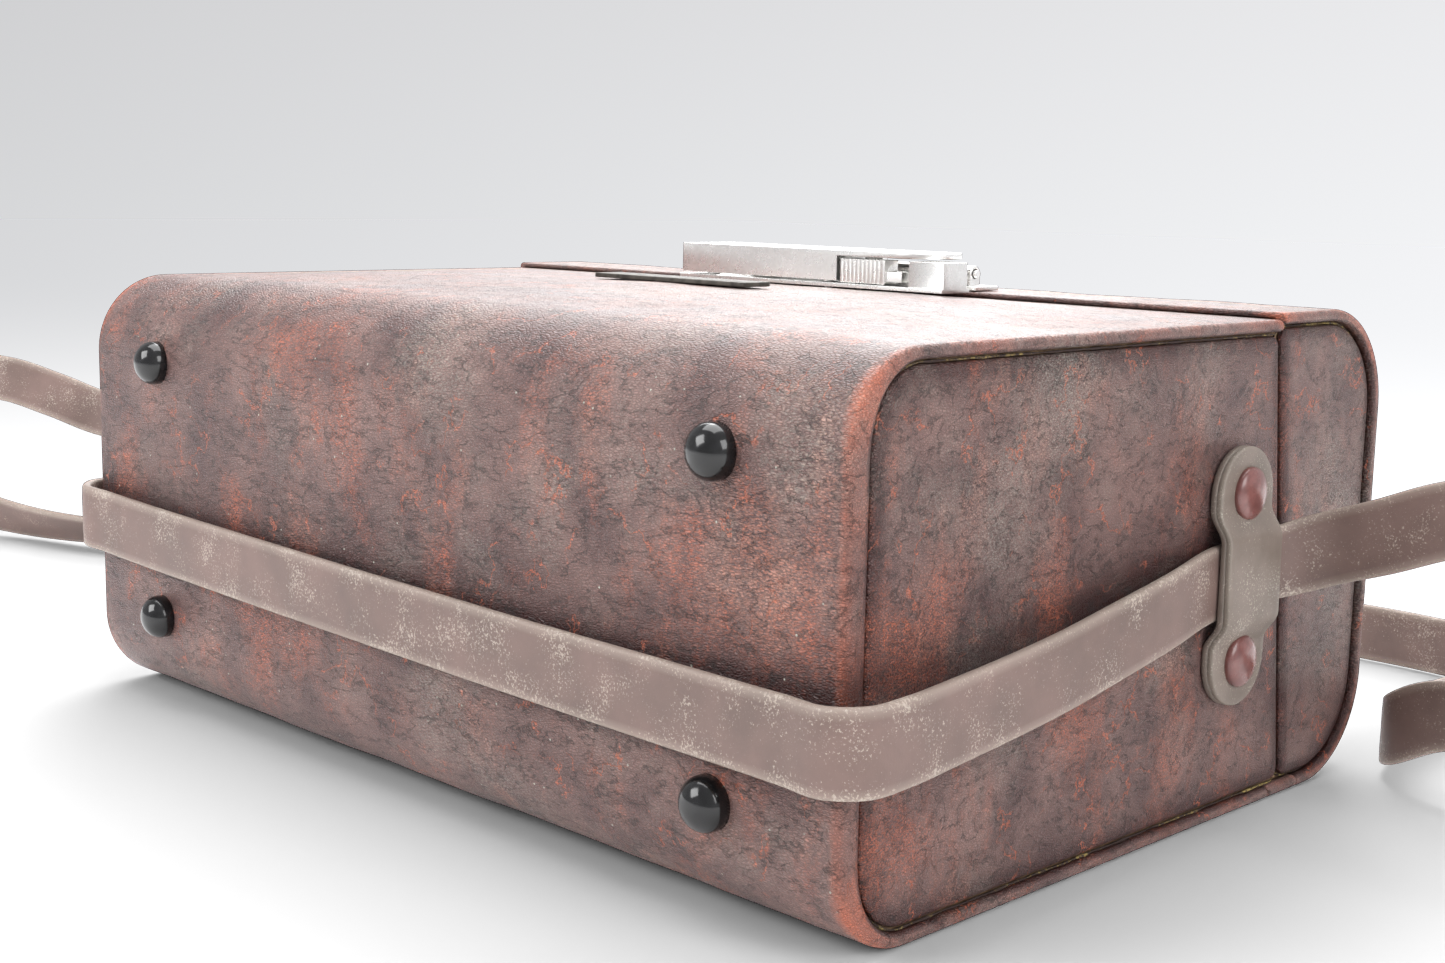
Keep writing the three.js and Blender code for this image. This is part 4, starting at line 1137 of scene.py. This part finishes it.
fibreboard = matt_material("grey_brown_fibreboard", "#94795c", "#6a533d", 2.2, 0.15, 0.85)
lining_cloth = matt_material("brushed_cotton_lining", "#6d4f3d", "#4b3529", 1.2, 0.12, 0.92, weave=True)
lip_leather = strap_material("dark_inner_lip_leather", "#5d4239", "#48322b", "#8c7566", 0.99)
finish_of = {"body_shell": fibreboard, "lid_shell": fibreboard, "body_lining": lining_cloth,
             "lid_lining": lining_cloth, "body_inner_lip": lip_leather}
for name, node in nodes.items():
    if node.hide_render:
        continue
    chosen = finish_of.get(name, nickel_plate if name.startswith("latch") else dull_zinc)
    node.data.materials.clear()
    node.data.materials.append(chosen)
    print(name, "->", chosen.name)

# %% [markdown]
# ## Floor and light
#
# The case lies on a pale seamless sweep. The floor only catches the shadow; the pale grey behind
# and the white below come from the world, which is a soft white room, a little brighter on the
# right. Four soft boxes light it: one overhead, one on the left, one on the right, and a wide one
# behind whose glare lies on the front panel.
#
# With the case on its back, the open lid reaches below the floor. A hidden block that turns with the
# lid cuts the floor away above it; with the lid shut, the block is inside the case and cuts nothing.


# %% Floor, world and lights
def block(name, low, high):
    """A closed box between two corners, faces outwards."""
    shape = bmesh.new()
    bmesh.ops.create_cube(shape, size=1.0)
    mesh = bpy.data.meshes.new(name)
    shape.to_mesh(mesh)
    shape.free()
    low, high = np.array(low), np.array(high)
    mesh.transform(Matrix.LocRotScale((low + high) / 2, None, high - low))
    return add_object(name, mesh)


floor = block("floor", (-6.0, -6.0, -0.0013), (6.0, 6.0, -0.0003))
floor.is_shadow_catcher = True
way_for_lid = block("way_for_lid", to_row((-HALF - 3, 60.0, 2.0)), to_row((HALF + 3, HEIGHT, DEPTH)))
way_for_lid.hide_render = True
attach(way_for_lid, "lid")
opening = floor.modifiers.new("room for the open lid", "BOOLEAN")
opening.object = way_for_lid
opening.operation = "DIFFERENCE"
opening.solver = "EXACT"
paper, add = new_material("white_paper_floor")
shader = add("BsdfPrincipled", {"Base Color": linear("#f4f4f4"), "Roughness": 0.7})
add("OutputMaterial", {0: shader})
floor.data.materials.append(paper)

world = bpy.data.worlds.new("white_room")
bpy.context.scene.world = world
world.use_nodes = True
world.node_tree.nodes.clear()
add = partial(add_node, world.node_tree)
way = add("TexCoord").outputs["Generated"]
up = add("SeparateXYZ", {0: way}).outputs[2]
share = add("MapRange", {0: up, 1: -0.20, 2: -0.045}, interpolation_type="SMOOTHSTEP")
high = add("MapRange", {0: up, 1: -0.05, 2: 0.12})
sky = add("Mix", {0: high, 6: linear("#eaebed"), 7: linear("#dfdfe1")}, data_type="RGBA").outputs[2]
across = add("VectorMath", {0: way, 1: (0.707, 0.707, 0.0)}, operation="DOT_PRODUCT").outputs["Value"]
side_light = add("MapRange", {0: across, 1: -0.35, 2: 0.35, 3: 0.84, 4: 1.10})
sky = add("Mix", {0: 1.0, 6: sky, 7: side_light}, data_type="RGBA", blend_type="MULTIPLY").outputs[2]
room = add("Mix", {0: share, 6: (1.30, 1.30, 1.30, 1.0), 7: sky}, data_type="RGBA").outputs[2]
shade = add("Background", {"Color": room, "Strength": 1.0})
add("OutputWorld", {0: shade})


def soft_box(name, place, aim, size, watts):
    """A square area lamp at place, facing aim."""
    lamp = bpy.data.lights.new(name, "AREA")
    lamp.size = size
    lamp.energy = watts
    z = np.array(place, float) - np.array(aim, float)
    z /= np.linalg.norm(z)
    x = np.cross((0.0, 1.0, 0.01), z)
    x /= np.linalg.norm(x)
    add_object(name, lamp).matrix_world = pose(x, np.cross(z, x), z, place)


soft_box("overhead_box", (-0.25, 0.15, 1.5), (0, 0, 0.05), 1.3, 26.0)
soft_box("left_box", (-0.7, -1.4, 1.0), (0, 0, 0.05), 0.9, 21.0)
soft_box("right_box", (1.5, -0.1, 0.9), (0, 0, 0.05), 0.9, 15.0)
soft_box("back_box", (-1.3, 1.5, 1.35), (0, 0, 0.1), 1.8, 52.0)
bpy.context.scene.view_settings.view_transform = "Standard"
bpy.context.scene.view_settings.look = "None"
bpy.context.scene.view_settings.exposure = 0.0
print("floor and lights ready")
